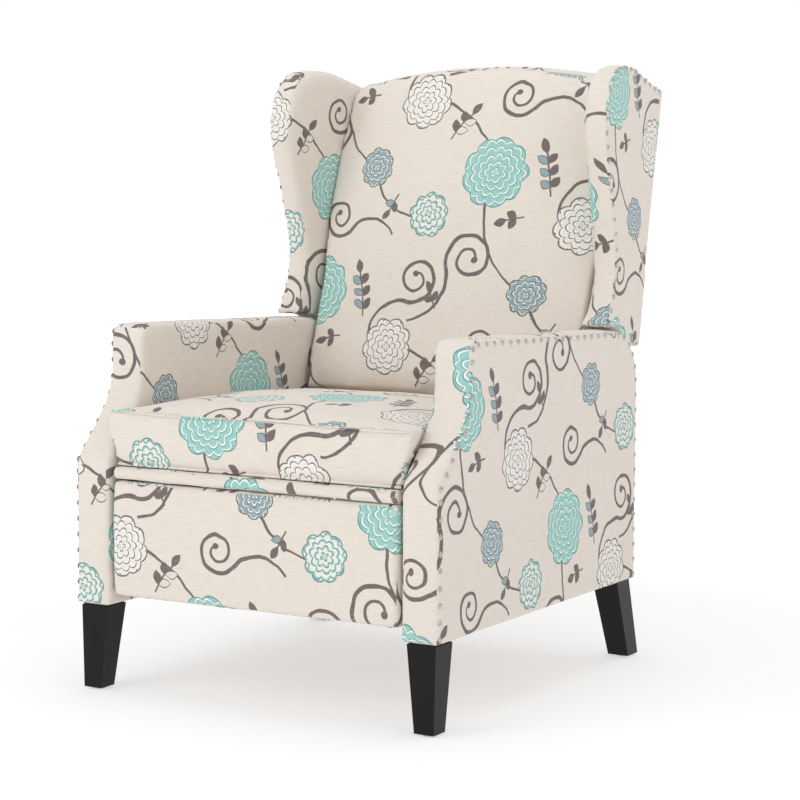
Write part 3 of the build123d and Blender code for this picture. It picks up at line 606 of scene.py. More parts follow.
# %% Seat, settled
SEAT_HALF_WIDTH = 0.272
CROWN_EDGE = 0.4505
CROWN_RISE = 0.0245
CROWN_PLACES = (-0.415, -0.38, -0.30, -0.20, -0.10, 0.0, 0.09)
CROWN_SHARES = (0.2, 0.6, 0.9, 1.0, 0.85, 0.5, 0.2)
SCOOP_FOOT = (-0.4223, 0.374)
SCOOP_SLOPE = 0.094 / 0.104
CORNER_SPREAD = 0.0125


def shape_seat(points):
    """Settle the blown-up seat: a low crown that falls to the rear, a tucked rear and full corners."""
    x, y, z = points.T
    across = np.clip(1 - (np.abs(x) / SEAT_HALF_WIDTH) ** 2.4, 0, 1) ** 0.8
    along = np.interp(y, CROWN_PLACES, CROWN_SHARES)
    crown = CROWN_EDGE + CROWN_RISE * across * along - 0.005 * ramp(y + 0.1, 0.2)
    points[:, 2] = np.where(z > crown, crown + 0.15 * (z - crown), z)

    tuck = ramp(y - 0.02, 0.07) ** 2 * (z > 0.414)
    points[:, 1] += tuck * (0.017 + 0.012 * (np.abs(x) / 0.266) ** 2)

    scoop = SCOOP_FOOT[0] + (z - SCOOP_FOOT[1]) * SCOOP_SLOPE
    before_arm = ramp(scoop - 0.003 - y, 0.012) * ramp(z - 0.378, 0.05)
    corner = ramp(np.abs(x) - 0.235, 0.03)
    points[:, 0] += np.sign(x) * CORNER_SPREAD * before_arm * corner

    lip_end = ramp(np.abs(x) - 0.243, 0.004) * (z < 0.416) * (y > -0.402) * (y < -0.36)
    points[:, 1] += 0.013 * lip_end


SEAT_SIDE = 0.2672
SEAT_MOST_FORWARD = -0.4165
SEAT_UNDERSIDE = 0.3662


def seam_wave(x):
    """How far the front seam is off its height, as hand-pulled cloth waves a little."""
    return 0.0022 * np.sin(x * 17 + 1.0)


def settle_seat(seat):
    points = points_of(seat)
    points[:, 0] = np.clip(points[:, 0], -SEAT_SIDE, SEAT_SIDE)
    points[:, 1] = np.maximum(points[:, 1], SEAT_MOST_FORWARD)
    shape_seat(points)
    points[:, 2] = np.maximum(points[:, 2], SEAT_UNDERSIDE)
    near_seam = hump(points[:, 2] - SEAT_SEAM, 0.02) * (points[:, 1] < SEAT_FRONT)
    points[:, 2] += seam_wave(points[:, 0]) * near_seam
    put_points(seat, points)
    ripple(seat, height=0.0016, size=0.09, seed=21)


settle_seat(seat)
print("the seat's crown is", round(points_of(seat)[:, 2].max(), 4), "high")

# %% [markdown]
# The seat's cords and cover. The cloth gathers at the right front corner, where the photo shows it
# most. The cords are laid on the settled form, so that they follow it. The front band is a panel
# of its own, so the print starts afresh under the seam.

# %% Seat's cords and cover
SEAM_CORD = 0.0015
WELT_CORD = 0.0026
SEAT_WELT = 0.3686
WELT_REACH = 0.261
GATHERED_CORNER = (0.240, -0.385)


def gather_corner(seat):
    points = points_of(seat)
    off = points[:, :2] - np.array(GATHERED_CORNER)
    corner = hump(off[:, 0], 0.035) * hump(off[:, 1], 0.035) * (points[:, 2] > 0.43)
    pucker(seat, corner, height=0.0036, size=0.017, seed=7.0)


def seat_rule(normals, points):
    side = np.abs(normals[:, 0]) >= 0.85
    front = (points[:, 2] < SEAT_SEAM) & (points[:, 1] < SEAT_FRONT + 0.02) & ~side
    u = np.where(side, points[:, 1], points[:, 0]) + 0.04
    v = np.where(front | side, points[:, 2], points[:, 1]) + 0.10
    return u + np.where(front, 0.13, 0.0), v + np.where(front, 0.21, 0.0)


gather_corner(seat)
join(seat, cord_across(seat, "seat_seam", lambda x: SEAT_SEAM + seam_wave(x), SEAM_CORD, SEAT_HALF_WIDTH))
join(seat, cord_across(seat, "seat_welt", lambda x: SEAT_WELT, WELT_CORD, WELT_REACH))
shade_smooth(seat)
face_uv(seat, seat_rule)
dress(seat, "seat", "seat_cushion")

# %% [markdown]
# Back cushion. On the real chair it is a tight inner back, crowned across and along, with an
# arched top that rolls over to the rear. It is made as the seat is, but only its front may swell:
# its rear face lies on the frame, and its side edges stay almost as wide as in the solid, because
# they have to meet the wings in a tight crease.

# %% Back cushion
BACK_VOXEL = 0.0065
REAR_DEPTH = 0.062
SIDE_FROM = 0.90


def side_limit(points):
    """A function that gives a form's half width at any height, read from its points."""
    heights = np.linspace(points[:, 2].min(), points[:, 2].max(), 60)
    widths = [np.abs(points[np.abs(points[:, 2] - h) < 0.012, 0]).max() for h in heights]
    return lambda z: np.interp(z, heights, widths)


def from_rear_face(points):
    """How far points lie in front of the back's rear face."""
    return (back_y(points[:, 2]) - points[:, 1]) * math.cos(RAKE)


def make_back():
    back = copy_of_node("soft_back", "back_cushion")
    remesh(back, BACK_VOXEL)
    points = points_of(back)
    limit = side_limit(points)
    rear = ramp(REAR_DEPTH - from_rear_face(points), 0.012)
    side = ramp(np.abs(points[:, 0]) / limit(points[:, 2]) - SIDE_FROM, 0.08)
    smooth(back, 10, keep=np.clip(rear * 0.9 + side * 0.72, 0, 0.95))

    points, normals = points_of(back), normals_of(back)
    draw_in = normals * (0.006 * (1 - rear) * (1 - side * 0.8))[:, None]
    draw_in[:, 0] *= 0.1
    put_points(back, points - draw_in)
    swell(back, pressure=4.0, cap=0.012, pinned=np.clip(rear + side * 0.6, 0, 1))
    smooth(back, 3, keep=np.clip(rear * 0.9 + side * 0.6, 0, 0.95))

    points = points_of(back)
    reach = limit(points[:, 2]) + 0.0015
    wide = np.clip(np.abs(points[:, 0]) + 0.004 * side * (1 - rear), 0, reach)
    points[:, 0] = np.sign(points[:, 0]) * wide
    put_points(back, points)
    ripple(back, height=0.0018, size=0.12, seed=33)
    return back


back = make_back()
print("the back's crest is", round(points_of(back)[:, 2].max(), 4), "high")

# %% [markdown]
# The back's cover. The inner back is one cloth, so its print runs up the front, over the top edge
# and round to the sides without a break.

# %% Back's cover
def back_rule(normals, points):
    up = (points[:, 2] - SILL.z) / math.cos(RAKE)
    round_the_edge = 0.15 - from_rear_face(points)
    side = np.abs(normals[:, 0]) >= 0.8
    top = (normals[:, 2] > 0.85) & ~side
    u = points[:, 0] + np.where(side, np.sign(normals[:, 0]) * round_the_edge, 0.0)
    v = up + np.where(top, round_the_edge, 0.0)
    return u + 0.02, v + 0.02


shade_smooth(back)
face_uv(back, back_rule)
dress(back, "back", "back_cushion")

# %% [markdown]
# Thin pads. The footrest, the small flap under the seat's lip and the panel under the chair's rear
# are boards with a few millimetres of wadding under the cloth. Their edges could be bevelled, but
# a remeshed copy of each solid, smoothed for a few rounds, also gives them the slight unevenness
# of wadding. The flap's front edge is a loose roll, moved into shape by formula.

# %% Thin pads
def make_pad(name, node, body, voxel, rounds, height, offset):
    """A remeshed copy of a node. height is that of its ripples, and offset moves the print."""
    pad = copy_of_node(name, node)
    remesh(pad, voxel)
    smooth(pad, rounds)
    ripple(pad, height, size=0.09, seed=len(name))
    shade_smooth(pad)
    face_uv(pad, flat_rule(offset))
    dress(pad, body, node)
    return pad


def flat_rule(offset):
    """The print over an upright panel that faces forwards or back."""
    def rule(normals, points):
        side = np.abs(normals[:, 0]) > 0.75
        level = (np.abs(normals[:, 2]) > 0.75) & ~side
        u = points[:, 0] * np.where(normals[:, 1] > 0.2, -1.0, 1.0)
        u = np.where(side, points[:, 1], u)
        v = np.where(level, points[:, 1], points[:, 2])
        return u + offset[0], v + offset[1]
    return rule


def puff_flap(flap):
    """The flap's front edge is a loose roll that sags a little towards its right end."""
    points = points_of(flap)
    front = ramp(-0.398 - points[:, 1], 0.012)
    right = ramp(points[:, 0] - 0.02, 0.22)
    middle = hump(points[:, 2] - 0.355, 0.008)
    wave = np.sin(points[:, 0] * 37 + 0.6) * 0.0008
    points[:, 1] -= front * middle * (0.0055 + 0.002 * right + wave)
    low = ramp(0.356 - points[:, 2], 0.008)
    points[:, 2] += front * (1 - low) * 0.001 - front * low * (0.0024 + 0.0008 * right)
    put_points(flap, points)


make_pad("soft_footrest", "footrest_pad", "footrest",
         voxel=0.004, rounds=8, height=0.0008, offset=(0.17, 0.21))
flap = make_pad("soft_flap", "flap_pad", "flap",
                voxel=0.003, rounds=4, height=0.0012, offset=(0.10, 0.02))
puff_flap(flap)
make_pad("soft_rear_panel", "rear_panel", "base",
         voxel=0.004, rounds=3, height=0.0005, offset=(0.05, 0.33))

# %% [markdown]
# Outer back. Its cloth is stretched straight over a thin board with no padding, so its faces are
# flat and only its edges are a little round. A remesh fine enough for so thin a panel would need
# over a hundred thousand faces. Merging the flat faces and bevelling the sharp edges needs few.

# %% Outer back
EDGE_ROUNDING = 0.0014


def round_edges(bm):
    bmesh.ops.dissolve_limit(bm, angle_limit=math.radians(1), verts=bm.verts, edges=bm.edges)
    sharp = [e for e in bm.edges if len(e.link_faces) == 2 and e.calc_face_angle() > math.radians(30)]
    bmesh.ops.bevel(bm, geom=sharp, offset=EDGE_ROUNDING, segments=3, profile=0.5, affect="EDGES")
    bmesh.ops.triangulate(bm, faces=bm.faces)
    bmesh.ops.recalc_face_normals(bm, faces=bm.faces)


outer_back = copy_of_node("soft_outer_back", "outer_back")
edit_mesh(outer_back.data, round_edges)
face_uv(outer_back, flat_rule((0.0, 0.12)))
dress(outer_back, "back", "outer_back")

# %% [markdown]
# Formulas in nodes. The print, the weave and the wood are formulas, so they stay sharp at any
# distance and need no picture file. Joining math nodes by hand makes a formula hard to read. The
# Value class lets it be written as a plain sum, and each operation adds one Math node.

# %% Formulas in nodes
class Value:
    """A number in a material's node tree."""

    def __init__(self, tree, socket):
        self.tree = tree
        self.socket = socket

    def step(self, operation, *others, clamp=False):
        node = self.tree.nodes.new("ShaderNodeMath")
        node.operation = operation
        node.use_clamp = clamp
        for entry, other in zip(node.inputs, (self, *others)):
            if isinstance(other, Value):
                self.tree.links.new(other.socket, entry)
            else:
                entry.default_value = other
        return Value(self.tree, node.outputs[0])

    def __add__(self, other):
        return self.step("ADD", other)

    def __sub__(self, other):
        return self.step("SUBTRACT", other)

    def __mul__(self, other):
        return self.step("MULTIPLY", other)

    def __truediv__(self, other):
        return self.step("DIVIDE", other)

    def times_plus(self, factor, extra):
        return self.step("MULTIPLY_ADD", factor, extra)

    def size(self):
        return self.step("ABSOLUTE")

    def nearest(self):
        return self.step("ROUND")

    def whole(self):
        return self.step("FLOOR")

    def part(self):
        """What is left after the whole number."""
        return self.step("FRACT")

    def below(self, limit, soft=0.6):
        """1 where the value is under the limit, 0 over it, with a soft edge of that width."""
        if isinstance(limit, Value):
            return (limit - self).step("MULTIPLY_ADD", 1 / soft, 0.5, clamp=True)
        return self.step("MULTIPLY_ADD", -1 / soft, limit / soft + 0.5, clamp=True)


def distance(x, y):
    return (x * x).step("ADD", y * y).step("SQRT")


def turns(x, y):
    """The direction of a place, from -0.5 to 0.5 of a turn."""
    return y.step("ARCTAN2", x) * (1 / (2 * math.pi))


print("formulas in nodes ready")

# %% [markdown]
# Layers of colour. Cloth is printed one colour after another, and each colour covers what lies
# under its own stencil. The Paint class does the same: a Mix node for each layer, with a mask for
# its stencil. A colour is written as it looks on a screen and turned into the linear one that
# nodes take.

# %% Layers of colour
def colour_rgb(red, green, blue):
    """A screen colour from 0 to 255 as the linear colour that nodes take."""
    linear = [
        ((c / 255 + 0.055) / 1.055) ** 2.4 if c > 10 else c / 255 / 12.92 for c in (red, green, blue)
    ]
    return (*linear, 1.0)


class Paint:
    """A ground colour that layers are laid on, one mask at a time."""

    def __init__(self, tree, ground):
        start = tree.nodes.new("ShaderNodeRGB")
        start.outputs[0].default_value = ground
        self.tree = tree
        self.socket = start.outputs[0]

    def lay(self, mask, colour):
        node = self.tree.nodes.new("ShaderNodeMix")
        node.data_type = "RGBA"
        mask_entry, under_entry, over_entry = node.inputs[0], node.inputs[6], node.inputs[7]
        self.tree.links.new(mask.socket, mask_entry)
        self.tree.links.new(self.socket, under_entry)
        over_entry.default_value = colour
        self.socket = node.outputs[2]


print("white is", colour_rgb(255, 255, 255))

# %% [markdown]
# The print's colours and repeat. The print is a generic one: round blooms of scalloped petals,
# spiral tendrils and leafy sprigs on a pale ground. Cloth printed by a roller repeats. Motifs on a
# square grid line up in rows that the eye finds at once, so they repeat in a half drop: each
# column of copies stands half a repeat higher than the one beside it. Lengths on the cloth are in
# millimetres.

# %% Colours and repeat
REPEAT = (336.0, 436.0)
GROUND = colour_rgb(229, 220, 210)
TAUPE = colour_rgb(112, 101, 99)
AQUA = colour_rgb(150, 205, 197)
STEEL = colour_rgb(146, 170, 178)
TEAL = colour_rgb(88, 150, 150)
INK = colour_rgb(92, 104, 104)
WHITE = colour_rgb(246, 243, 238)
PALE = colour_rgb(237, 231, 223)


def at_motif(u, v, place, turn=0.0, mirror=1):
    """Where a point lies, seen from the nearest copy of a motif."""
    column = (u - place[0]) / REPEAT[0]
    near = column.nearest()
    x = (column - near) * REPEAT[0]
    row = ((v - place[1]) / REPEAT[1]) - near * 0.5
    y = (row - row.nearest()) * REPEAT[1]
    c, s = math.cos(math.radians(turn)), math.sin(math.radians(turn))
    return (x * c + y * s) * mirror, y * c - x * s


print("the print repeats every", REPEAT, "mm")

# %% [markdown]
# Blooms. A bloom is made in polar coordinates, so that one formula draws every petal. The distance
# from the middle is cut into rings, each ring into petals, and three more in each ring than in the
# one inside it. Each ring is turned a little, so that petals overlap like tiles. An outline, with
# a light beside it, makes a petal look raised.

# %% Blooms
LOBES = 9
PETAL_ARCH = 2.3


def bloom(paint, x, y, radius, fill, line, light, petal, width):
    """A round flower with a lobed rim. petal is a ring's breadth and width that of a line."""
    r = distance(x, y)
    t = turns(x, y)
    lobes = (t * LOBES).part() - 0.5
    rim = (lobes * lobes) * (-0.52 * radius) + radius
    paint.lay(r.below(rim), fill)
    ring = (r / petal).whole()
    count = ring * 3 + 4
    across = ((t * count) + ring * 0.37).part() - 0.5
    rise = (r / petal).part() + (across * across) * PETAL_ARCH - 0.72
    inside = r.below(rim - 1.5)
    light_band = (rise + 0.5 * width / petal + 0.10).size().below(0.12, 0.05)
    paint.lay(light_band * inside, light)
    paint.lay(rise.size().below(0.5 * width / petal, 0.05) * inside, line)
    paint.lay((r - rim).size().below(width * 0.62), line)


print("blooms ready")

# %% [markdown]
# Stems and tendrils. A stem is part of a circle, which needs only a distance and an angle, and it
# tapers as a brush stroke does. A tendril is a spiral in which each turn lies one pitch farther
# out than the last, so that the distance less the angle tells how far off its line a point is.

# %% Stems and tendrils
TAPER = 0.45


def arc(paint, x, y, centre, radius, first, sweep, width, colour):
    """A curved stem that loses TAPER of its width along its way. Angles are in turns."""
    ax, ay = x - centre[0], y - centre[1]
    along = ((turns(ax, ay) - first) * (1 if sweep > 0 else -1) + 1.0).part()
    line = (distance(ax, ay) - radius).size()
    line = line.below(along * (-TAPER / 2 * width / abs(sweep)) + width / 2)
    paint.lay(line * along.below(abs(sweep), 0.003), colour)


def stem(paint, u, v, start, end, bulge, width, colour):
    """A curved stem from one place on the cloth to another, bowed to its left by the bulge."""
    middle = ((start[0] + end[0]) / 2, (start[1] + end[1]) / 2)
    reach = (end[0] - middle[0], end[1] - middle[1])
    half = math.hypot(*reach)
    radius = (half * half + bulge * bulge) / (2 * abs(bulge))
    side = math.copysign(radius - abs(bulge), bulge)
    centre = (reach[1] / half * side, -reach[0] / half * side)
    first = math.atan2(-reach[1] - centre[1], -reach[0] - centre[0]) / (2 * math.pi)
    sweep = -math.copysign(2 * math.asin(half / radius) / (2 * math.pi), bulge)
    arc(paint, *at_motif(u, v, middle), centre, radius, first, sweep, width, colour)


def scroll(paint, x, y, pitch, rounds, width, tail, colour):
    """A spiral tendril with a ball at its heart. Its outer end runs on as a curved stem."""
    r = distance(x, y)
    t = turns(x, y)
    gap = r / pitch - t
    branch = gap.nearest()
    total = t + branch
    off = ((gap - branch) * pitch).size()
    half = total.times_plus(width * 0.16, width * 0.28)
    heart = 0.42
    on = total.below(rounds, 0.01) * (total * -1).below(-heart, 0.01)
    paint.lay(off.below(half) * on, colour)
    hx = x - heart * pitch * math.cos(heart * 2 * math.pi)
    hy = y - heart * pitch * math.sin(heart * 2 * math.pi)
    paint.lay(distance(hx, hy).below(width * 0.95), colour)
    end = rounds * pitch
    arc(paint, x, y, (end + tail[0], 0), tail[0], 0.5, -tail[1], width * 1.2, colour)


print("stems and tendrils ready")

# %% [markdown]
# Leaves. A leaf is the space between two shallow parabolas. On a sprig, pairs of leaves stand at
# even steps, so folding the cloth about the stem and rounding to the nearest step makes one
# leaf's formula draw them all.

# %% Leaves
def leaf(x, y, length, breadth):
    """How far a place lies inside a pointed leaf that starts at 0 and runs along x."""
    along = x / (length / 2) - 1.0
    return (along * along).times_plus(-breadth / 2, breadth / 2) - y.size()


def sprig(paint, x, y, pairs, spacing, size, colour, open_colour):
    """A stem with pairs of leaves, filled on one side and open on the other."""
    bent = x + (y * y) * 0.0012
    length = pairs * spacing
    stalk = bent.size().below(1.6) * y.below(length - 2.0) * (y * -1).below(14.0)
    paint.lay(stalk, colour)
    mirrored = bent.size()
    slope = (y - mirrored) / spacing
    index = slope.nearest()
    foot = y - index * spacing
    c = math.sqrt(0.5)
    inside = leaf((mirrored + foot) * c, (foot - mirrored) * c, size, size * 0.62)
    on = index.below(pairs - 0.5, 0.01) * (index * -1).below(0.5, 0.01)
    shape = (inside * -1).below(0.0) * on
    paint.lay(shape, colour)
    hollow = (inside * -1).below(-1.7) * on * bent.below(0.0)
    paint.lay(hollow, open_colour)
    tip = leaf(y - (length - 3.0), bent, size * 1.15, size * 0.6)
    paint.lay((tip * -1).below(0.0), colour)


print("leaves ready")

# %% [markdown]
# The whole repeat. Motifs are laid from what lies lowest to what lies on top: stems first, which
# end under blooms, then tendrils and sprigs, and the blooms last. In each list a motif's place on
# the repeat and its turn in degrees come first, and then what its own function asks for.

# %% The whole repeat
STEMS = [
    ((90, 320), (180, 108), -44, 5.6),
    ((262, 236), (426, 102), 36, 5.6),
    ((180, 108), (300, 24), -26, 5.2),
]
SCROLLS = [
    ((66, 172), 200, 1, 24.0, 2.0, 6.4, (70, 0.30)),
    ((302, 352), 75, -1, 21.0, 2.0, 6.2, (58, 0.36)),
    ((112, 22), -40, 1, 18.5, 2.0, 5.8, (60, 0.30)),
]
SPRIGS = [
    ((196, 296), 10, 1, 3, 22.0, 24.0, TAUPE, STEEL),
    ((334, 176), -36, -1, 2, 22.0, 24.0, TAUPE, GROUND),
    ((142, 244), 104, 1, 1, 19.0, 22.0, TAUPE, TAUPE),
    ((6, 96), 24, 1, 1, 19.0, 21.0, TAUPE, TAUPE),
    ((232, 52), 150, -1, 1, 18.0, 21.0, TAUPE, STEEL),
]
BLOOMS = [
    ((90, 324), 20, 62, AQUA, TEAL, WHITE, 12.5, 1.6),
    ((262, 232), 50, 50, PALE, INK, WHITE, 11.0, 2.0),
    ((180, 112), 5, 35, STEEL, INK, WHITE, 9.5, 1.7),
    ((308, 30), 70, 39, PALE, TEAL, AQUA, 10.0, 2.0),
]


def print_cloth(paint, u, v):
    for start, end, bulge, width in STEMS:
        stem(paint, u, v, start, end, bulge, width, TAUPE)
    for place, turn, mirror, *form in SCROLLS:
        scroll(paint, *at_motif(u, v, place, turn, mirror), *form, TAUPE)
    for place, turn, mirror, *form in SPRIGS:
        sprig(paint, *at_motif(u, v, place, turn, mirror), *form)
    for place, turn, *form in BLOOMS:
        bloom(paint, *at_motif(u, v, place, turn), *form)


print(len(STEMS + SCROLLS + SPRIGS + BLOOMS), "motifs in the repeat")

# %% [markdown]
# Material helpers. Every material starts the same way, with a Principled shader and some noise.
# Noise drawn out along one axis looks like threads, grain or brushed metal, depending on how far
# it is drawn out. The same noise drives the colour and the relief, so that they belong together.

# %% Material helpers
materials = {}


def set_inputs(node, **values):
    """Set a node's inputs by their names, with an underscore for each space."""
    for name, value in values.items():
        node.inputs[name.replace("_", " ")].default_value = value
    return node


def new_material(slot, **values):
    """A material for a slot, with some of its shader's inputs set: its node tree and its shader."""
    materials[slot] = bpy.data.materials.new(slot)
    materials[slot].use_nodes = True
    tree = materials[slot].node_tree
    return tree, set_inputs(tree.nodes["Principled BSDF"], **values)


def grain(tree, source, scale, stretch=(1, 1, 1), detail=4.0):
    """A noise value over a coordinate socket, drawn out along some axes."""
    mapping = set_inputs(tree.nodes.new("ShaderNodeMapping"), Scale=stretch)
    pattern = set_inputs(tree.nodes.new("ShaderNodeTexNoise"), Scale=scale, Detail=detail)
    tree.links.new(source, mapping.inputs["Vector"])
    tree.links.new(mapping.outputs["Vector"], pattern.inputs["Vector"])
    return Value(tree, pattern.outputs["Fac"])


def between(tree, share, low, high):
    """A colour that runs from low to high with a share from 0 to 1."""
    paint = Paint(tree, low)
    paint.lay(share, high)
    return paint.socket


def lift(tree, shader, height, distance, strength):
    """Fine relief in a shader's normals."""
    bump = set_inputs(tree.nodes.new("ShaderNodeBump"), Distance=distance, Strength=strength)
    tree.links.new(height.socket, bump.inputs["Height"])
    tree.links.new(bump.outputs["Normal"], shader.inputs["Normal"])


def object_place(tree):
    return tree.nodes.new("ShaderNodeTexCoord").outputs["Object"]


print("material helpers ready")

# %% [markdown]
# Printed cloth. The cover is a plain weave like linen, with uneven threads that run across it and
# finer ones up it. A picture of cloth would repeat and blur close up. Here two noises are drawn
# out along the cloth's own directions, and tint the print a little darker and lighter. The print's
# place sways by a few millimetres as well, because a drawn line is never quite a perfect arc.

# %% Printed cloth
MM = 1000.0
SWAY = 9.0
THREAD_SHADE = colour_rgb(168, 156, 146)
THREAD_LIGHT = colour_rgb(250, 246, 240)


def make_cloth():
    tree, shader = new_material(
        "fabric_print", Roughness=0.88, Sheen_Weight=0.12, Specular_IOR_Level=0.25)
    uv_map = tree.nodes.new("ShaderNodeUVMap")
    uv_map.uv_map = "print"
    place = uv_map.outputs["UV"]
    split = tree.nodes.new("ShaderNodeSeparateXYZ")
    tree.links.new(place, split.inputs[0])
    sway = (grain(tree, place, scale=26.0, detail=1.0) - 0.5) * SWAY
    swing = (grain(tree, place, scale=31.0, stretch=(1, -1, 1), detail=1.0) - 0.5) * SWAY
    u = Value(tree, split.outputs[0]) * MM + sway
    v = Value(tree, split.outputs[1]) * MM + swing
    paint = Paint(tree, GROUND)
    print_cloth(paint, u, v)

    weft = grain(tree, place, scale=1.0, stretch=(38, 760, 1), detail=3.0)
    warp = grain(tree, place, scale=1.0, stretch=(900, 120, 1), detail=1.0)
    weave = weft * 0.78 + warp * 0.22
    paint.lay(weave.step("MULTIPLY_ADD", -5.0, 2.6, clamp=True) * 0.22, THREAD_SHADE)
    paint.lay(weave.step("MULTIPLY_ADD", 6.0, -3.3, clamp=True) * 0.25, THREAD_LIGHT)
    tree.links.new(paint.socket, shader.inputs["Base Color"])
    lift(tree, shader, weave, distance=0.0006, strength=0.7)
    print("the cloth's material has", len(tree.nodes), "nodes")


make_cloth()

# %% [markdown]
# Hard materials. The nails are aged pewter and only partly metallic. A noise mixes a painted lit
# tone and a painted shaded tone of the metal over each nail. The legs are stained nearly black with a
# satin finish that is uneven along the grain. What lies inside the chair is bare wood, black
# enamelled and zinc plated steel, and nylon. A noise with its own stretch is enough for those.

# %% Hard materials
def make_nail_metal():
    tree, shader = new_material("nail_metal", Roughness=0.37, Metallic=0.55)
    # A noise mottles each nail with a painted lit tone and a painted shaded tone of the metal, and also
    # drives its relief.
    lit_and_shaded_mottle = grain(tree, object_place(tree), scale=420.0)
    share = lit_and_shaded_mottle.step("MULTIPLY_ADD", 3.0, -1.0, clamp=True)
    # The bright colour is a painted lit tone and the dark one a painted shaded tone of the pewter.
    metal = between(tree, share, colour_rgb(224, 219, 212), colour_rgb(150, 143, 136))
    tree.links.new(metal, shader.inputs["Base Color"])
    lift(tree, shader, lit_and_shaded_mottle, distance=0.0002, strength=0.4)


def make_leg_wood():
    tree, shader = new_material("leg_wood", Roughness=0.34, Specular_IOR_Level=0.22)
    streaks = grain(tree, object_place(tree), scale=1.0, stretch=(160, 160, 9), detail=5.0)
    stain = between(tree, streaks, colour_rgb(9, 8, 8), colour_rgb(19, 17, 17))
    tree.links.new(stain, shader.inputs["Base Color"])
    rough = streaks.times_plus(0.14, 0.27)
    tree.links.new(rough.socket, shader.inputs["Roughness"])
    lift(tree, shader, streaks, distance=0.0003, strength=0.25)


def make_plain(slot, low, high, roughness, metallic=0.0, scale=300.0, stretch=(1, 1, 1), relief=0.0001):
    """A plain material whose colour runs from low to high, both on the screen's scale."""
    tree, shader = new_material(slot, Roughness=roughness, Metallic=metallic)
    pattern = grain(tree, object_place(tree), scale, stretch)
    colour = between(tree, pattern, colour_rgb(*low), colour_rgb(*high))
    tree.links.new(colour, shader.inputs["Base Color"])
    lift(tree, shader, pattern, distance=relief, strength=0.3)


make_nail_metal()
make_leg_wood()
make_plain("glide_plastic", (196, 192, 186), (214, 210, 204), roughness=0.5)
make_plain("frame_wood", (178, 140, 98), (206, 170, 124), roughness=0.62,
           scale=1.0, stretch=(220, 14, 220), relief=0.0004)
make_plain("steel_black", (22, 22, 24), (34, 34, 36), roughness=0.42, metallic=0.35)
make_plain("steel_zinc", (168, 172, 174), (196, 198, 198), roughness=0.32, metallic=0.95)
make_plain("slider_nylon", (226, 224, 216), (238, 236, 228), roughness=0.46)
print("materials", sorted(materials))

# %% [markdown]
# Giving materials out. Each CAD node's record names its material slot, so a loop does the hard
# pieces. Every soft piece gets the printed cloth.

# %% Giving materials out
for part in frame["record"]["subparts"]:
    node = frame["nodes"][part["node"]]
    node.data.materials.clear()
    node.data.materials.append(materials[part["material_slot"]])
soft_pieces = [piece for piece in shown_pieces() if "soft_" in piece.name]
for piece in soft_pieces:
    piece.data.materials.clear()
    piece.data.materials.append(materials["fabric_print"])

# %% [markdown]
# Camera. It looks from the chair's right front, a little above the arms, through a long lens. A
# Track To constraint would aim it, but could not give the slight roll, so its three directions are
# worked out and put in its matrix.

# %% Camera
CAMERA_PLACE = (2.0485, -3.4326, 0.8585)
CAMERA_TURNS = (0.53377, 0.101905, 0.003668)
CAMERA_LENS = 107.83


def place_camera():
    lens = bpy.data.cameras.new("photo")
    lens.lens = CAMERA_LENS
    lens.sensor_width = 36.0
    lens.clip_end = 60.0
    camera = new_object("photo", lens)
    yaw, pitch, roll = CAMERA_TURNS
    look = Vector((-math.sin(yaw) * math.cos(pitch), math.cos(yaw) * math.cos(pitch), -math.sin(pitch)))
    right = Vector((math.cos(yaw), math.sin(yaw), 0))
    up = right.cross(look)
    tilted_right = right * math.cos(roll) + up * math.sin(roll)
    tilted_up = up * math.cos(roll) - right * math.sin(roll)
    turned = Matrix((tilted_right, tilted_up, -look)).transposed().to_4x4()
    camera.matrix_world = Matrix.Translation(CAMERA_PLACE) @ turned
    bpy.context.scene.camera = camera
    return camera


camera = place_camera()
print("camera", [round(v, 3) for v in camera.location])

# %% [markdown]
# Lamps. A pale object needs soft light from large lamps, or its shadows look cut out. The key
# lamp is at the upper left front, a weaker one fills the right side, and one from above lights
# the seat and the tops of the arms. More power would clip the pale cloth to white.

# %% Lamps
def area_light(name, place, target, size, power):
    lamp = bpy.data.lights.new(name, "AREA")
    lamp.shape = "DISK"
    lamp.size = size
    lamp.energy = power
    holder = new_object(name, lamp)
    holder.location = place
    holder.rotation_euler = (Vector(target) - Vector(place)).to_track_quat("-Z", "Y").to_euler()


area_light("key", place=(-1.7, -3.6, 2.3), target=(0, 0, 0.5), size=2.4, power=42)
area_light("fill", place=(3.2, -2.4, 2.0), target=(0, 0, 0.5), size=2.6, power=16)
area_light("top", place=(0.2, 0.4, 3.6), target=(0, 0, 0.3), size=2.6, power=24)
print("three lamps placed")

# %% [markdown]
# Floor. The chair stands on white that has no horizon. A white sheet alone turns grey away from
# the lamps. So the floor mixes a plain surface, which holds the shadow near the chair, with a glow
# that takes over farther out.

# %% Floor
FLOOR_SIZE = 14.0
FLOOR_WHITE = colour_rgb(250, 250, 250)
FLOOR_GLOW = 1.14


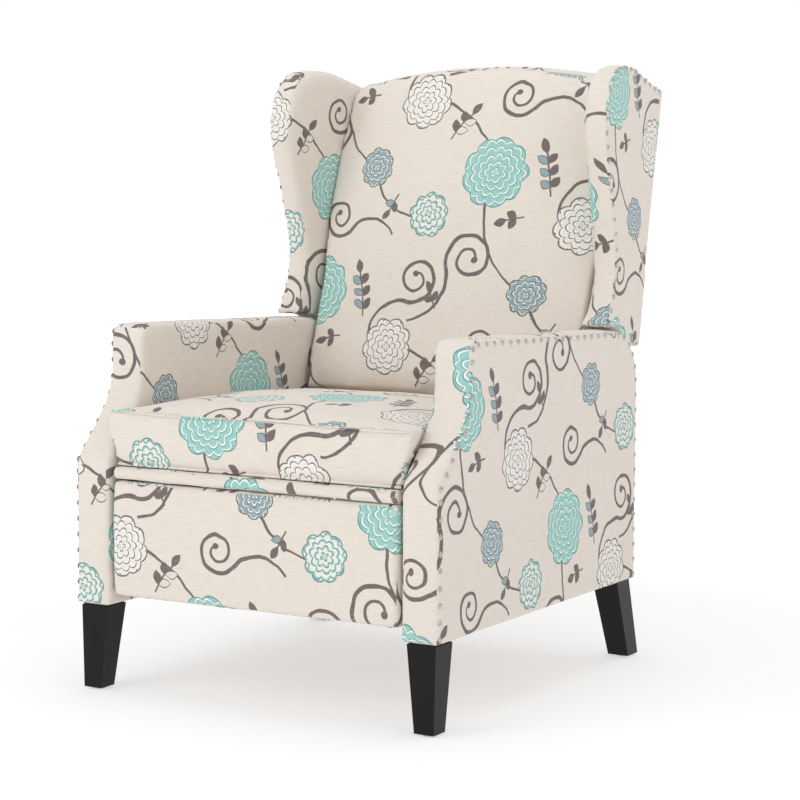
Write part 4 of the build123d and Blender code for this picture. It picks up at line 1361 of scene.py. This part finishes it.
def make_floor():
    mesh = bpy.data.meshes.new("floor")
    edit_mesh(mesh, lambda bm: bmesh.ops.create_grid(bm, x_segments=1, y_segments=1, size=FLOOR_SIZE))
    floor = new_object("floor", mesh)
    tree, shader = new_material(
        "floor_white", Roughness=0.75, Specular_IOR_Level=0.2, Base_Color=FLOOR_WHITE)
    split = tree.nodes.new("ShaderNodeSeparateXYZ")
    tree.links.new(object_place(tree), split.inputs[0])
    x, y = Value(tree, split.outputs[0]), Value(tree, split.outputs[1])
    near = distance(x, y).below(1.25, 0.9) * 0.5
    glow = set_inputs(tree.nodes.new("ShaderNodeEmission"), Color=(1, 1, 1, 1), Strength=FLOOR_GLOW)
    mix = tree.nodes.new("ShaderNodeMixShader")
    tree.links.new(near.socket, mix.inputs[0])
    tree.links.new(glow.outputs[0], mix.inputs[1])
    tree.links.new(shader.outputs[0], mix.inputs[2])
    tree.links.new(mix.outputs[0], tree.nodes["Material Output"].inputs["Surface"])
    floor.data.materials.append(materials["floor_white"])


make_floor()
print("floor ready")

# %% [markdown]
# Surround. In a photo studio the white wall is lit apart from the chair, so that it is white and
# yet casts little light. A world may do both at once: a Light Path node tells the rays that come
# from the camera, which see full white, from all others, which get a weaker, even light.

# %% Surround
SEEN_STRENGTH = 1.0
LIGHT_STRENGTH = 0.66


def make_surround():
    world = bpy.data.worlds.new("surround")
    bpy.context.scene.world = world
    world.use_nodes = True
    tree = world.node_tree
    tree.nodes.clear()
    path = tree.nodes.new("ShaderNodeLightPath")
    seen, light = [
        set_inputs(tree.nodes.new("ShaderNodeBackground"), Color=(1, 1, 1, 1), Strength=strength)
        for strength in (SEEN_STRENGTH, LIGHT_STRENGTH)
    ]
    mix = tree.nodes.new("ShaderNodeMixShader")
    out = tree.nodes.new("ShaderNodeOutputWorld")
    tree.links.new(path.outputs["Is Camera Ray"], mix.inputs[0])
    tree.links.new(light.outputs[0], mix.inputs[1])
    tree.links.new(seen.outputs[0], mix.inputs[2])
    tree.links.new(mix.outputs[0], out.inputs[0])


make_surround()
bpy.context.scene.view_settings.view_transform = "Standard"
print("surround ready")
